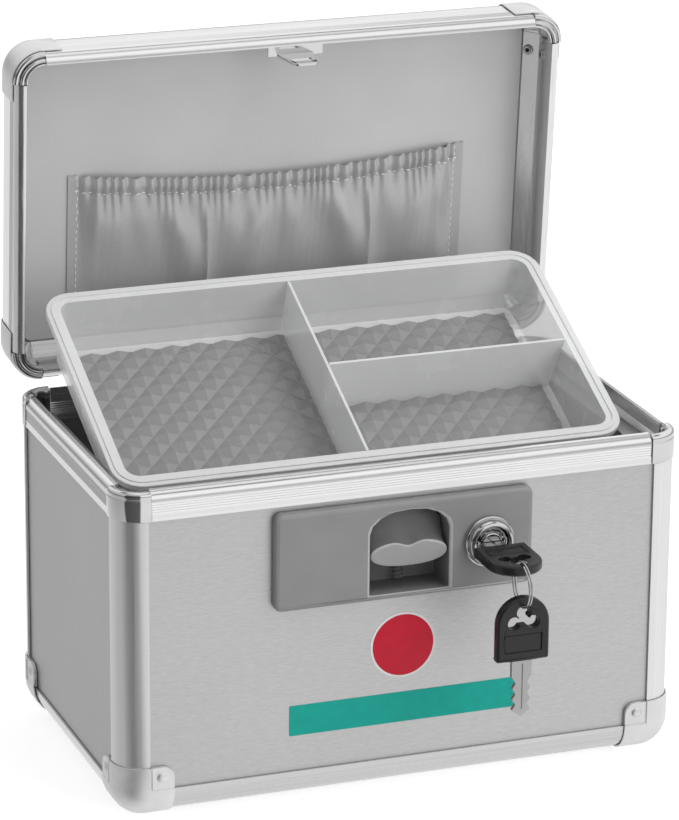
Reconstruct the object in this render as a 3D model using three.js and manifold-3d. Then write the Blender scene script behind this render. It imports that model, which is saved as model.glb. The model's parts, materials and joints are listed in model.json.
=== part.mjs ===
// A lockable aluminium medication box with its lid open: a small flight case of extruded edges and
// brushed panels, with a lift-out tray, a recessed finger latch and a key lock.
// Sizes are in millimetres. X runs to the right, Y from the front to the back, Z up.
// The origin is the centre of the bottom panel's underside.
import * as THREE from "three";
import { mergeVertices } from "three/addons/utils/BufferGeometryUtils.js";
import Module from "manifold-3d";

const wasm = await Module();
wasm.setup();

// Case
const caseWidth = 300;
const caseDepth = 178;
const jointHeight = 173;
const lidHeight = 32;
const edgeRadius = 15.5;
const boardThickness = 3;
const clearance = 0.3;
const overrun = 5;
const deg = Math.PI / 180;
const quarter = 90 * deg;

// Extruded edges
const lipThickness = 1.2;
const slotDepth = 3;
const legThickness = 1.5;
const panelRecess = lipThickness + clearance;
const slotEnd = panelRecess + boardThickness + clearance;
const legEnd = slotEnd + legThickness;
const panelBack = panelRecess + boardThickness;
const slotFloor = edgeRadius - slotDepth;

// Rim of the body
const rimHeight = 15.5;
const rimBand = 3.7;
const rimRibsHeight = 6.3;
const rimRibs = 5;
const ribDepth = 0.45;
const rimThickness = 5.5;
const rimSkirt = 2.5;
const rimSlotHeight = 3;
const lipGap = 0.2;
const rimTop = jointHeight - lipGap;
const rimBottom = jointHeight - rimHeight;
const rimCornerReach = 17;
const rimCornerProud = 0.7;

// Lid
const lidTopRadius = 10;
const lidBevel = 5.3;
const lidCoveHeight = 18;
const lidSlotInset = 9.5;
const lidLipInset = 12.5;
const lidInnerLip = 1.2;
const lidCornerProud = 1;
const lidCornerReach = 26;
const lidCornerRings = 2;
const lidOpenAngle = 85.3 * deg;
const liningThickness = 2.1;
const lidPanelTop = lidHeight - lipThickness - clearance;
const lidPanelUnder = lidPanelTop - boardThickness;
const lidSlotUnder = lidPanelUnder - clearance;
const liningTop = lidSlotUnder - clearance;
const liningUnder = liningTop - liningThickness;

// Bottom corner caps
const capReach = 28;
const capProud = 1.2;
const capNeck = 0.6;
const tabProud = 0.9;
const tabRadius = 6;
const rivetRadius = 3;
const rivetHeight = 1.5;
const rivetAlong = 21.5;
const rivetUp = 22.5;

// Tray
const traySideRoom = 12.7;
const trayEndRoom = 15.25;
const trayWidth = caseWidth - 2 * traySideRoom;
const trayDepth = caseDepth - 2 * trayEndRoom;
const trayHeight = 33.4;
const trayCorner = 15;
const traySkirt = 3;
const trayWall = 1.5;
const trayFlange = 7.5;
const trayDraft = 3;
const beadInset = 2.5;
const beadWidth = 1.6;
const beadHeight = 0.6;
const trayPlay = -1.4;
const trayFront = 14;
const traySeatDrop = 8.2;
const traySeat = jointHeight - traySeatDrop;
const trayOpenFront = 36;
const trayOpenDrop = 10;
const trayOpenHeight = jointHeight - trayOpenDrop;
const trayTilt = 24.6 * deg;
const dividerThickness = 1.5;
const longDividerShare = 0.488;
const crossDividerShare = 0.5017;

// Side boards that carry the tray
const linerInner = 16.6;
const linerFlangeGap = 0.3;
const linerEnd = 12;

// Latch plate, its recess and the slide
const plateWidth = 137.5;
const plateHeight = 51.5;
const plateShift = -1.75;
const plateDrop = 3;
const plateLeft = (caseWidth - plateWidth) / 2 + plateShift;
const plateTop = rimBottom - plateDrop;
const plateBottom = plateTop - plateHeight;
const plateProud = 4;
const plateCorner = 4;
const plateEdge = 2.5;
const recessShare = 0.5182;
const recessBorder = 3;
const recessHeight = 44;
const recessCentre = plateLeft + recessShare * plateWidth;
const recessWidth = 42.5;
const recessFloor = plateBottom + recessBorder;
const recessTop = recessFloor + recessHeight;
const recessRise = 12;
const recessBack = 17.8;
const recessWall = 1.6;
const panelHoleGap = 0.4;
const slideWidth = 40.7;
const slideHeight = 20.1;
const slideRoom = 13.6;
const slideBottom = recessFloor + slideRoom;
const slideTop = slideBottom + slideHeight;
const slideNotch = 2.6;
const slideFront = 2.5;
const carriageFront = 9;
const carriageBack = 12.3;
const carriageWidth = 34;
const stemWidth = 10;
const stemDrop = 7;
const stemTop = jointHeight - stemDrop;
const stemFront = 6.6;
const stemBack = 9.3;
const stemSlotGap = 0.3;
const catchReach = 0.4;
const catchWidth = 7;
const catchHeight = 4;
const springSeatDepth = 16.4;
const springSeatHeight = 2.5;
const springRadius = 2.6;
const springWire = 0.4;
const springTurns = 5;

// Lock, keys and ring
const lockShare = 0.8218;
const lockRise = 25.5;
const lockAt = plateLeft + lockShare * plateWidth;
const lockHeight = plateBottom + lockRise;
const lockRingRadius = 13.25;
const lockRingHeight = 7;
const cylinderRadius = 9;
const cylinderFront = 9.5;
const cylinderBack = 13;
const boreGap = 0.3;
const camThickness = 2;
const camLength = 15;
const camWidth = 9;
const nutRadius = 12.5;
const nutThickness = 3.4;
const nutSides = 6;
const keywayGap = 0.35;
const keyHeadLength = 33.7;
const keyHeadWidth = 28;
const keyHeadThickness = 5.5;
const keyCorner = 1.5;
const keyBevel = 1;
const keyBar = 4.5;
const lobeRadius = 3.4;
const topLobeRadius = 3.7;
const lobeSpread = 5;
const lobeDrop = 5.2;
const bridgeDrop = 1.4;
const labelWidth = 19.5;
const labelHeight = 9;
const labelRise = 5;
const labelDepth = 0.5;
const bladeWidth = 8;
const shankWidth = 10.6;
const shankLength = 9;
const bladeThickness = 2.2;
const bladeLength = 30;
const bladeTang = 6;
const bladeWaves = 3;
const bladeWave = 0.8;
const keyReach = 18;
const ringRadius = 11.5;
const ringWire = 0.65;
const ringPitch = 1.8;
const ringTurns = 2;

// Hinges
const hingeInset = 62;
const hingeAt = caseWidth / 2 - hingeInset;
const hingeWidth = 48;
const hingeOffset = 2;
const knuckleRadius = 2.6;
const hingePin = 1.2;
const hingeBore = 1.55;
const leafThickness = 1.5;
const leafLength = 26;
const knuckleGap = 0.3;
const leafCorner = 4;

// Strike hook
const strikeWidth = 30;
const strikeThickness = 1.2;
const strikeHeight = 12;
const strikeRise = 3;
const strikeJoggle = 4.6;
const tongueTop = 20;
const tongueEnd = 12;
const tongueCorner = 2.5;
const tongueLength = 18;
const windowTop = 11;
const windowEnd = 9;
const windowLength = 6.5;

// Pocket
const pocketLeft = 35;
const pocketRightInset = 44;
const pocketRight = caseWidth - pocketRightInset;
const pocketHeight = 83;
const pocketFromBack = 20;
const pocketBack = caseDepth - pocketFromBack;
const pocketFront = pocketBack - pocketHeight;
const pocketDepth = 10;
const pocketCloth = 1.4;
const pocketFolds = 9;
const foldDepth = 1.2;

// Handle
const handleSpan = 104;
const handleReach = 38;
const handleRod = 3.2;
const handleBend = 12;
const gripRadius = 5.6;
const gripLength = 70;
const pivotHeight = 7.5;
const bracketWidth = 12;
const bracketDepth = 22;
const bracketPlate = 2;
const bracketEar = 6;

const halfWidth = caseWidth / 2;
const halfDepth = caseDepth / 2;

const material = (color, roughness, metalness) =>
  new THREE.MeshStandardMaterial({ color, roughness, metalness });
const materials = {
  brushed: material(0xb4b4b6, 0.45, 0.9),
  extrusion: material(0xd4d4d6, 0.3, 1),
  chrome: material(0xe2e2e4, 0.15, 1),
  cast: material(0x9fa0a2, 0.4, 0.9),
  plate: material(0x8c8c8e, 0.5, 0.6),
  lining: material(0x6e6e70, 0.9, 0),
  cloth: material(0xa4a4a6, 0.95, 0),
  tray: material(0xa9a9ab, 0.5, 0.5),
  steel: material(0xc2c2c4, 0.3, 1),
  black: material(0x2d2d2e, 0.5, 0),
};

// Geometry helpers

function toSolid(geometry) {
  const bare = new THREE.BufferGeometry();
  const source = geometry.index ? geometry.toNonIndexed() : geometry;
  bare.setAttribute("position", source.getAttribute("position").clone());
  const merged = mergeVertices(bare, 1e-4);
  return new wasm.Manifold(
    new wasm.Mesh({
      numProp: 3,
      vertProperties: merged.attributes.position.array,
      triVerts: new Uint32Array(merged.index.array),
    }),
  );
}

function toGeometry(solid) {
  const mesh = solid.getMesh();
  const geometry = new THREE.BufferGeometry();
  geometry.setAttribute("position", new THREE.BufferAttribute(mesh.vertProperties, mesh.numProp));
  geometry.setIndex(new THREE.BufferAttribute(mesh.triVerts, 1));
  geometry.computeVertexNormals();
  return geometry;
}

const joined = (...geometries) =>
  toGeometry(geometries.map(toSolid).reduce((all, solid) => all.add(solid)));
const cut = (geometry, ...tools) =>
  toGeometry(tools.map(toSolid).reduce((rest, tool) => rest.subtract(tool), toSolid(geometry)));
const common = (a, b) => toGeometry(toSolid(a).intersect(toSolid(b)));

function box(x0, x1, y0, y1, z0, z1) {
  const geometry = new THREE.BoxGeometry(x1 - x0, y1 - y0, z1 - z0);
  return geometry.translate((x0 + x1) / 2, (y0 + y1) / 2, (z0 + z1) / 2);
}

// A cylinder along X, Y or Z from one coordinate to another, centred at the other two.
function cylinder(axis, from, to, radius, u, v, sides = 24) {
  const geometry = new THREE.CylinderGeometry(radius, radius, to - from, sides);
  geometry.translate(0, (from + to) / 2, 0);
  if (axis === "x") return geometry.rotateZ(-90 * deg).translate(0, u, v);
  if (axis === "z") return geometry.rotateX(90 * deg).translate(u, v, 0);
  return geometry.translate(u, 0, v);
}

function extrudeAlongX(shape, x0, x1, steps = 3) {
  const geometry = new THREE.ExtrudeGeometry(shape, {
    depth: x1 - x0,
    bevelEnabled: false,
    curveSegments: steps,
  });
  const turn = new THREE.Matrix4().makeBasis(
    new THREE.Vector3(0, 1, 0),
    new THREE.Vector3(0, 0, 1),
    new THREE.Vector3(1, 0, 0),
  );
  return geometry.applyMatrix4(turn).translate(x0, 0, 0);
}

function extrudeAlongY(shape, y0, y1, steps = 3) {
  const geometry = new THREE.ExtrudeGeometry(shape, {
    depth: y1 - y0,
    bevelEnabled: false,
    curveSegments: steps,
  });
  return geometry.rotateX(90 * deg).translate(0, y1, 0);
}

function extrudeAlongZ(shape, z0, z1, steps = 3) {
  const geometry = new THREE.ExtrudeGeometry(shape, {
    depth: z1 - z0,
    bevelEnabled: false,
    curveSegments: steps,
  });
  return geometry.translate(0, 0, z0);
}

function polygon(points) {
  return new THREE.Shape(points.map(([x, y]) => new THREE.Vector2(x, y)));
}

function roundedRectangle(x0, x1, y0, y1, r) {
  const shape = new THREE.Shape();
  shape.moveTo(x0 + r, y0);
  shape.lineTo(x1 - r, y0);
  shape.absarc(x1 - r, y0 + r, r, -90 * deg, 0, false);
  shape.lineTo(x1, y1 - r);
  shape.absarc(x1 - r, y1 - r, r, 0, 90 * deg, false);
  shape.lineTo(x0 + r, y1);
  shape.absarc(x0 + r, y1 - r, r, 90 * deg, 180 * deg, false);
  shape.lineTo(x0, y0 + r);
  shape.absarc(x0 + r, y0 + r, r, 180 * deg, 270 * deg, false);
  return shape;
}

// Points of a closed shape, with its arcs divided, and no point repeated.
function outline(shape, steps = 3) {
  const points = shape.extractPoints(steps).shape;
  return points.filter((p, i) => {
    const next = points[(i + 1) % points.length];
    return p.distanceTo(next) > 1e-6;
  });
}

// Joins rings of equal length into one closed skin, with both ends filled.
function skin(rings, capOutline) {
  const count = rings[0].length;
  const positions = rings.flat(2);
  const faces = [];
  for (let i = 0; i + 1 < rings.length; i++) {
    for (let j = 0; j < count; j++) {
      const a = i * count + j;
      const b = i * count + ((j + 1) % count);
      faces.push(a, b, b + count, a, b + count, a + count);
    }
  }
  const last = (rings.length - 1) * count;
  const clockwise = THREE.ShapeUtils.isClockWise(capOutline);
  for (const [a, p, q] of THREE.ShapeUtils.triangulateShape(capOutline, [])) {
    const [b, c] = clockwise ? [q, p] : [p, q];
    faces.push(a, c, b, last + a, last + b, last + c);
  }
  if (signedVolume(positions, faces) < 0) faces.reverse();
  const geometry = new THREE.BufferGeometry();
  geometry.setAttribute("position", new THREE.Float32BufferAttribute(positions, 3));
  geometry.setIndex(faces);
  return geometry;
}

function signedVolume(positions, faces) {
  const corner = (i) => new THREE.Vector3().fromArray(positions, 3 * i);
  let sum = 0;
  for (let i = 0; i < faces.length; i += 3) {
    sum += corner(faces[i]).dot(corner(faces[i + 1]).cross(corner(faces[i + 2])));
  }
  return sum;
}

// Carries a section, as (inset, height), past stations that each give a place and an inward direction.
function sweep(section, stations) {
  const rings = stations.map(([x, y, inX, inY]) =>
    section.map(({ x: inset, y: z }) => [x + inX * inset, y + inY * inset, z]),
  );
  return skin(rings, section);
}

// Stations round one corner of the case, with the corner at the origin.
function cornerStations(reach, steps = 6) {
  const stations = [];
  if (reach > edgeRadius) stations.push([reach, 0, 0, 1]);
  for (let i = 0; i <= steps; i++) {
    const angle = (270 - (90 * i) / steps) * deg;
    const c = Math.cos(angle);
    const s = Math.sin(angle);
    stations.push([edgeRadius * (1 + c), edgeRadius * (1 + s), -c, -s]);
  }
  if (reach > edgeRadius) stations.push([0, reach, 1, 0]);
  return stations;
}

// A closed body through rounded rectangles at several heights: each level is width, depth, radius, z.
function loft(levels, steps = 3) {
  const rings = levels.map(([w, d, r, z]) =>
    outline(roundedRectangle(-w / 2, w / 2, -d / 2, d / 2, r), steps).map((p) => [p.x, p.y, z]),
  );
  const cap = rings[0].map(([x, y]) => new THREE.Vector2(x, y));
  return skin(rings, cap);
}

const root = new THREE.Group();
const body = new THREE.Group();
body.position.z = -panelRecess;
root.add(body);

function piece(parent, name, geometry, look) {
  const mesh = new THREE.Mesh(geometry, look);
  mesh.name = name;
  parent.add(mesh);
  return mesh;
}

// Each side is drawn as the front, then turned about the case's centre.
const sides = [
  { name: "front", turn: 0, length: caseWidth, reach: halfDepth },
  { name: "right", turn: 90 * deg, length: caseDepth, reach: halfWidth },
  { name: "back", turn: 180 * deg, length: caseWidth, reach: halfDepth },
  { name: "left", turn: -90 * deg, length: caseDepth, reach: halfWidth },
];

// Each corner is drawn as the front left one, then turned.
const corners = [
  { name: "front_left", turn: 0, x: -halfWidth, y: -halfDepth },
  { name: "front_right", turn: 90 * deg, x: halfWidth, y: -halfDepth },
  { name: "back_right", turn: 180 * deg, x: halfWidth, y: halfDepth },
  { name: "back_left", turn: -90 * deg, x: -halfWidth, y: halfDepth },
];

function sideGroup(parent, side) {
  const group = new THREE.Group();
  group.rotation.z = side.turn;
  const shifted = new THREE.Group();
  shifted.position.y = -side.reach;
  group.add(shifted);
  parent.add(group);
  return shifted;
}

function cornerGroup(parent, corner) {
  const group = new THREE.Group();
  group.rotation.z = corner.turn;
  group.position.set(corner.x, corner.y, 0);
  parent.add(group);
  return group;
}

// Quarter-round edge extrusion with a slot for each of its two boards
function edgeSection() {
  const shape = new THREE.Shape();
  shape.moveTo(edgeRadius, 0);
  shape.lineTo(edgeRadius, lipThickness);
  shape.lineTo(slotFloor, lipThickness);
  shape.lineTo(slotFloor, slotEnd);
  shape.lineTo(edgeRadius, slotEnd);
  shape.lineTo(edgeRadius, legEnd);
  shape.lineTo(legEnd, legEnd);
  shape.lineTo(legEnd, edgeRadius);
  shape.lineTo(slotEnd, edgeRadius);
  shape.lineTo(slotEnd, slotFloor);
  shape.lineTo(lipThickness, slotFloor);
  shape.lineTo(lipThickness, edgeRadius);
  shape.lineTo(0, edgeRadius);
  shape.absarc(edgeRadius, edgeRadius, edgeRadius, 180 * deg, 270 * deg, false);
  return shape;
}

// A run of fine ribs up one face: the face lies at an inset, and the grooves go in from it.
function ribPoints(face, into, from, height, count) {
  if (count === 0) return [];
  const pitch = height / count;
  const points = [];
  for (let i = 0; i < count; i++) {
    points.push([face, from + i * pitch], [face + into, from + (i + 1 / 2) * pitch]);
  }
  points.push([face, from + height]);
  return points;
}

// Rim extrusion of the body: plain band, ribs, rounded top, ribbed inner face and a slot for the board
function rimSection(proud = 0, ribs = rimRibs) {
  const shape = new THREE.Shape();
  const ribsFrom = rimBottom + rimBand;
  const ribsTo = ribsFrom + rimRibsHeight;
  const innerRibs = rimTop - rimHeight + rimBand / 2;
  shape.moveTo(-proud, rimBottom);
  for (const [inset, z] of ribPoints(-proud, ribDepth, ribsFrom, rimRibsHeight, ribs)) {
    shape.lineTo(inset, z);
  }
  shape.absellipse(
    rimThickness,
    ribsTo,
    rimThickness + proud,
    rimTop - ribsTo,
    180 * deg,
    90 * deg,
    true,
  );
  const inner = ribPoints(rimThickness, -ribDepth, innerRibs, rimRibsHeight, ribs).reverse();
  for (const [inset, z] of inner) shape.lineTo(inset, z);
  if (proud > 0) {
    shape.lineTo(rimThickness, rimBottom);
    return shape;
  }
  shape.lineTo(legEnd, rimBottom);
  shape.lineTo(legEnd, rimBottom - rimSkirt);
  shape.lineTo(slotEnd, rimBottom - rimSkirt);
  shape.lineTo(slotEnd, rimBottom + rimSlotHeight);
  shape.lineTo(lipThickness, rimBottom + rimSlotHeight);
  shape.lineTo(lipThickness, rimBottom);
  return shape;
}

// Lid extrusion: the rim of the body mirrored, a plain side, a rounded top edge and the board's slot
function lidSection(proud = 0, ribs = rimRibs) {
  const shape = new THREE.Shape();
  const ribsFrom = lipGap + lidBevel;
  shape.moveTo(rimThickness, lipGap);
  shape.absellipse(
    rimThickness,
    ribsFrom,
    rimThickness + proud,
    lidBevel,
    270 * deg,
    180 * deg,
    true,
  );
  for (const [inset, z] of ribPoints(-proud, ribDepth, ribsFrom, rimRibsHeight, ribs)) {
    shape.lineTo(inset, z);
  }
  const centre = lidHeight - lidTopRadius;
  shape.lineTo(-proud, centre);
  shape.absarc(lidTopRadius, centre, lidTopRadius + proud, 180 * deg, 90 * deg, true);
  shape.lineTo(lidLipInset, lidHeight + proud);
  shape.lineTo(lidLipInset, lidHeight - lipThickness);
  shape.lineTo(lidSlotInset, lidHeight - lipThickness);
  shape.lineTo(lidSlotInset, lidSlotUnder);
  shape.lineTo(lidLipInset, lidSlotUnder);
  shape.lineTo(lidLipInset, lidSlotUnder - lidInnerLip);
  shape.lineTo(rimThickness, lidCoveHeight);
  return shape;
}

// The thin skirt of a lid corner that overlaps the ends of its two rails
function lidCornerSkirt() {
  const shape = new THREE.Shape();
  const from = lipGap + lidBevel;
  const centre = lidHeight - lidTopRadius;
  shape.moveTo(-lidCornerProud, from);
  shape.lineTo(-lidCornerProud, centre);
  shape.absarc(lidTopRadius, centre, lidTopRadius + lidCornerProud, 180 * deg, 90 * deg, true);
  shape.lineTo(lidLipInset, lidHeight + lidCornerProud);
  shape.lineTo(lidLipInset, lidHeight + clearance);
  shape.lineTo(lidTopRadius, lidHeight + clearance);
  shape.absarc(lidTopRadius, centre, lidTopRadius + clearance, 90 * deg, 180 * deg, false);
  shape.lineTo(-clearance, from);
  return shape;
}

// Outline of an upright board: its edges sit in the slots, and its top tongue clears the rim corners.
function boardShape(length) {
  const edge = slotFloor + clearance;
  const shoulder = rimBottom - clearance;
  const tongue = rimBottom + rimSlotHeight - clearance;
  const inner = rimCornerReach + clearance;
  const half = length / 2;
  return polygon([
    [edge - half, edge],
    [half - edge, edge],
    [half - edge, shoulder],
    [half - inner, shoulder],
    [half - inner, tongue],
    [inner - half, tongue],
    [inner - half, shoulder],
    [edge - half, shoulder],
  ]);
}

// Recess outline: straight sides under a flattened arch, grown outwards by a wall
function archShape(grow) {
  const left = recessCentre - halfWidth - recessWidth / 2 - grow;
  const right = left + recessWidth + 2 * grow;
  const spring = recessTop - recessRise;
  const shape = new THREE.Shape();
  shape.moveTo(left, recessFloor - grow);
  shape.lineTo(right, recessFloor - grow);
  shape.lineTo(right, spring);
  shape.absellipse(
    (left + right) / 2,
    spring,
    (right - left) / 2,
    recessRise + grow,
    0,
    180 * deg,
    false,
  );
  return shape;
}

const frontFace = -halfDepth;
const recessX = recessCentre - halfWidth;
const lockX = lockAt - halfWidth;

function addShell() {
  const edge = edgeSection();
  const rim = rimSection();
  const end = edgeRadius + clearance;
  for (const side of sides) {
    const group = sideGroup(body, side);
    const half = side.length / 2;
    const board = extrudeAlongY(boardShape(side.length), panelRecess, panelBack);
    const front = side.name === "front";
    const cuts = front
      ? [
          extrudeAlongY(archShape(recessWall + panelHoleGap), 0, rimThickness, 4),
          cylinder(
            "y",
            0,
            rimThickness,
            cylinderRadius + boreGap,
            lockX,
            lockHeight,
          ),
        ]
      : [];
    piece(group, side.name + "_panel", front ? cut(board, ...cuts) : board, materials.brushed);
    piece(
      group,
      "bottom_rail_" + side.name,
      extrudeAlongX(edge, end - half, half - end),
      materials.extrusion,
    );
    const rimEnd = rimCornerReach + clearance;
    piece(
      group,
      "rim_rail_" + side.name,
      extrudeAlongX(rim, rimEnd - half, half - rimEnd),
      materials.extrusion,
    );
  }
  piece(body, "bottom_panel", bottomPanel(), materials.brushed);
  const rimCorner = sweep(outline(rimSection(rimCornerProud, 0)), cornerStations(rimCornerReach));
  const cap = footCap();
  for (const corner of corners) {
    const group = cornerGroup(body, corner);
    piece(
      group,
      "corner_post_" + corner.name,
      extrudeAlongZ(edge, end, rimBottom - clearance),
      materials.extrusion,
    );
    piece(group, "rim_corner_" + corner.name, rimCorner, materials.chrome);
    piece(group, "foot_cap_" + corner.name, cap, materials.cast);
  }
}

// Bottom panel: its edges sit in the slots, and the field between the lips and caps stands a little lower
function bottomPanel() {
  const edge = slotFloor + clearance;
  const field = edgeRadius + clearance;
  const notch = capReach + clearance;
  const x = halfWidth - field;
  const y = halfDepth - field;
  const notchX = halfWidth - notch;
  const notchY = halfDepth - notch;
  const fieldShape = polygon([
    [-notchX, -y],
    [notchX, -y],
    [notchX, -notchY],
    [x, -notchY],
    [x, notchY],
    [notchX, notchY],
    [notchX, y],
    [-notchX, y],
    [-notchX, notchY],
    [-x, notchY],
    [-x, -notchY],
    [-notchX, -notchY],
  ]);
  const board = box(
    edge - halfWidth,
    halfWidth - edge,
    edge - halfDepth,
    halfDepth - edge,
    panelRecess + clearance,
    panelBack,
  );
  return joined(board, extrudeAlongZ(fieldShape, panelRecess, panelBack - clearance));
}

// Cast cap of a bottom corner: a ball corner whose three arms wrap the ends of the extrusions
function footCap() {
  const outer = edgeRadius + capProud;
  const inner = edgeRadius + clearance;
  const r = edgeRadius;
  const reach = edgeRadius + capNeck;
  const low = -capProud - overrun;
  const ball = new THREE.SphereGeometry(outer, 24, 12).rotateX(90 * deg).translate(r, r, r);
  const arms = ["x", "y", "z"].map((axis) => cylinder(axis, r, capReach, outer, r, r));
  const keep = joined(
    box(low, capReach, low, reach, low, reach),
    box(low, reach, low, capReach, low, reach),
    box(low, reach, low, reach, low, capReach),
  );
  const hollows = ["x", "y", "z"].map((axis) =>
    cylinder(axis, slotFloor - clearance, capReach + overrun, inner, r, r),
  );
  const inside = box(
    legEnd + clearance,
    capReach + overrun,
    legEnd + clearance,
    capReach + overrun,
    legEnd + clearance,
    capReach + overrun,
  );
  const corner = cut(common(joined(ball, ...arms), keep), ...hollows, inside);
  const tabShape = new THREE.Shape();
  tabShape.moveTo(inner, inner);
  tabShape.lineTo(capReach, inner);
  tabShape.lineTo(capReach, capReach - tabRadius);
  tabShape.absarc(capReach - tabRadius, capReach - tabRadius, tabRadius, 0, 90 * deg, false);
  tabShape.lineTo(inner, capReach);
  const dome = new THREE.LatheGeometry(
    [
      new THREE.Vector2(0, 0),
      new THREE.Vector2(rivetRadius, 0),
      new THREE.Vector2(rivetRadius * Math.cos(45 * deg), rivetHeight * Math.sin(45 * deg)),
      new THREE.Vector2(0, rivetHeight),
    ],
    12,
  );
  const frontTab = extrudeAlongY(tabShape, -tabProud, lipThickness);
  const underTab = extrudeAlongZ(tabShape, -tabProud, lipThickness);
  const sideTab = extrudeAlongX(tabShape, -tabProud, lipThickness);
  const sunk = clearance - tabProud;
  const towardFront = dome.clone().rotateX(180 * deg).translate(rivetAlong, sunk, rivetUp);
  const towardSide = dome.clone().rotateZ(90 * deg).translate(sunk, rivetAlong, rivetUp);
  return joined(corner, frontTab, underTab, sideTab, towardFront, towardSide);
}

// Where the tray's virtual pivot lies: the turn that takes its front edge from the seat to the raised place
function trayPole() {
  const seat = new THREE.Vector2(trayFront, traySeat);
  const raised = new THREE.Vector2(trayOpenFront, trayOpenHeight);
  const move = raised.clone().sub(seat);
  const up = new THREE.Vector2(-move.y, move.x).multiplyScalar(1 / 2 / Math.tan(trayTilt / 2));
  return seat.add(raised).multiplyScalar(1 / 2).add(up);
}

// Boards inside the two end walls: their tops carry the tray's flange, dipped where its corner swings past
function addLiners() {
  const pole = trayPole();
  const top = traySeat - traySkirt - linerFlangeGap;
  const over = linerInner - (halfWidth - trayWidth / 2 + trayPlay);
  const cornerBack = trayCorner - Math.sqrt(trayCorner ** 2 - (trayCorner - over) ** 2);
  const reach = Math.hypot(trayFront + cornerBack - pole.x, traySeat - traySkirt - pole.y);
  const radius = reach + linerFlangeGap;
  const half = Math.sqrt(radius ** 2 - (pole.y - top) ** 2);
  const angle = Math.atan2(top - pole.y, half);
  const from = legEnd + clearance;
  const shape = new THREE.Shape();
  shape.moveTo(from - halfDepth, from);
  shape.lineTo(halfDepth - from, from);
  shape.lineTo(halfDepth - from, rimBottom - clearance);
  shape.lineTo(halfDepth - linerEnd, rimBottom - clearance);
  shape.lineTo(halfDepth - linerEnd, top);
  shape.absarc(pole.x - halfDepth, pole.y, radius, angle, 180 * deg - angle - 360 * deg, true);
  shape.lineTo(linerEnd - halfDepth, top);
  shape.lineTo(linerEnd - halfDepth, rimBottom - clearance);
  shape.lineTo(from - halfDepth, rimBottom - clearance);
  const left = extrudeAlongX(shape, from - halfWidth, linerInner - halfWidth, 3);
  const right = extrudeAlongX(shape, halfWidth - linerInner, halfWidth - from, 3);
  piece(body, "side_board_left", left, materials.lining);
  piece(body, "side_board_right", right, materials.lining);
}

function addLatch() {
  const group = new THREE.Group();
  group.position.y = frontFace;
  body.add(group);
  const edgeLevel = (inset, proud) => [
    plateWidth - 2 * inset,
    plateHeight - 2 * inset,
    plateCorner - inset + clearance,
    proud,
  ];
  const edgeLevels = [
    edgeLevel(plateEdge, plateProud),
    edgeLevel(plateEdge / 4, plateProud - plateEdge / 4),
    edgeLevel(0, plateProud - plateEdge),
    edgeLevel(0, -lipThickness),
  ];
  const plate = loft(edgeLevels)
    .rotateX(90 * deg)
    .translate(plateShift, 0, (plateBottom + plateTop) / 2);
  const housing = extrudeAlongY(archShape(recessWall), 0, recessBack + recessWall, 4);
  const recess = extrudeAlongY(archShape(0), -plateProud - overrun, recessBack, 4);
  const lockHole = cylinder(
    "y",
    -plateProud - overrun,
    overrun,
    cylinderRadius + boreGap,
    lockX,
    lockHeight,
  );
  const stemHalf = stemWidth / 2 + stemSlotGap;
  const stemSlot = box(
    recessX - stemHalf,
    recessX + stemHalf,
    stemFront - stemSlotGap,
    stemBack + stemSlotGap,
    recessTop - overrun,
    recessTop + overrun,
  );
  piece(
    group,
    "latch_plate",
    cut(joined(plate, housing), recess, lockHole, stemSlot),
    materials.plate,
  );
  piece(group, "latch_slide", latchSlide(), materials.plate);
  piece(group, "latch_spring", latchSpring(), materials.steel);
}

// Finger slide: two rounded lobes in front, a carriage behind and a stem up to the catch
function latchSlide() {
  const half = slideWidth / 2;
  const middle = (slideTop + slideBottom) / 2 - slideNotch / 2;
  const lips = new THREE.Shape();
  lips.moveTo(-half, middle);
  const dip = slideTop - slideNotch;
  const hump = slideTop + slideNotch / 2;
  const heel = slideBottom + slideNotch;
  lips.bezierCurveTo(-half, dip, -half / 2, hump, 0, dip);
  lips.bezierCurveTo(half / 2, hump, half, dip, half, middle);
  lips.bezierCurveTo(half, heel, half / 2, slideBottom, 0, slideBottom);
  lips.bezierCurveTo(-half / 2, slideBottom, -half, heel, -half, middle);
  const pad = extrudeAlongY(lips, -slideFront, carriageFront + clearance, 8);
  const carriage = box(
    -carriageWidth / 2,
    carriageWidth / 2,
    carriageFront,
    carriageBack,
    slideBottom + springSeatHeight - clearance,
    slideTop - 2 * slideNotch,
  );
  const stem = box(
    -stemWidth / 2,
    stemWidth / 2,
    stemFront,
    stemBack,
    (slideBottom + slideTop) / 2,
    stemTop,
  );
  const catchNose = extrudeAlongX(
    polygon([
      [stemBack - clearance, stemTop - catchHeight],
      [stemBack + catchReach, stemTop - catchHeight],
      [stemBack - clearance, stemTop],
    ]),
    -catchWidth / 2,
    catchWidth / 2,
  );
  const seat = box(
    -stemWidth / 2,
    stemWidth / 2,
    carriageFront,
    springSeatDepth,
    slideBottom,
    slideBottom + springSeatHeight,
  );
  return joined(pad, carriage, stem, catchNose, seat).translate(recessX, 0, 0);
}

class Helix extends THREE.Curve {
  constructor(radius, pitch, turns) {
    super();
    this.radius = radius;
    this.pitch = pitch;
    this.turns = turns;
  }
  getPoint(t, target = new THREE.Vector3()) {
    const angle = 2 * Math.PI * this.turns * t;
    const rise = this.pitch * this.turns * t;
    return target.set(this.radius * Math.cos(angle), this.radius * Math.sin(angle), rise);
  }
}

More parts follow.
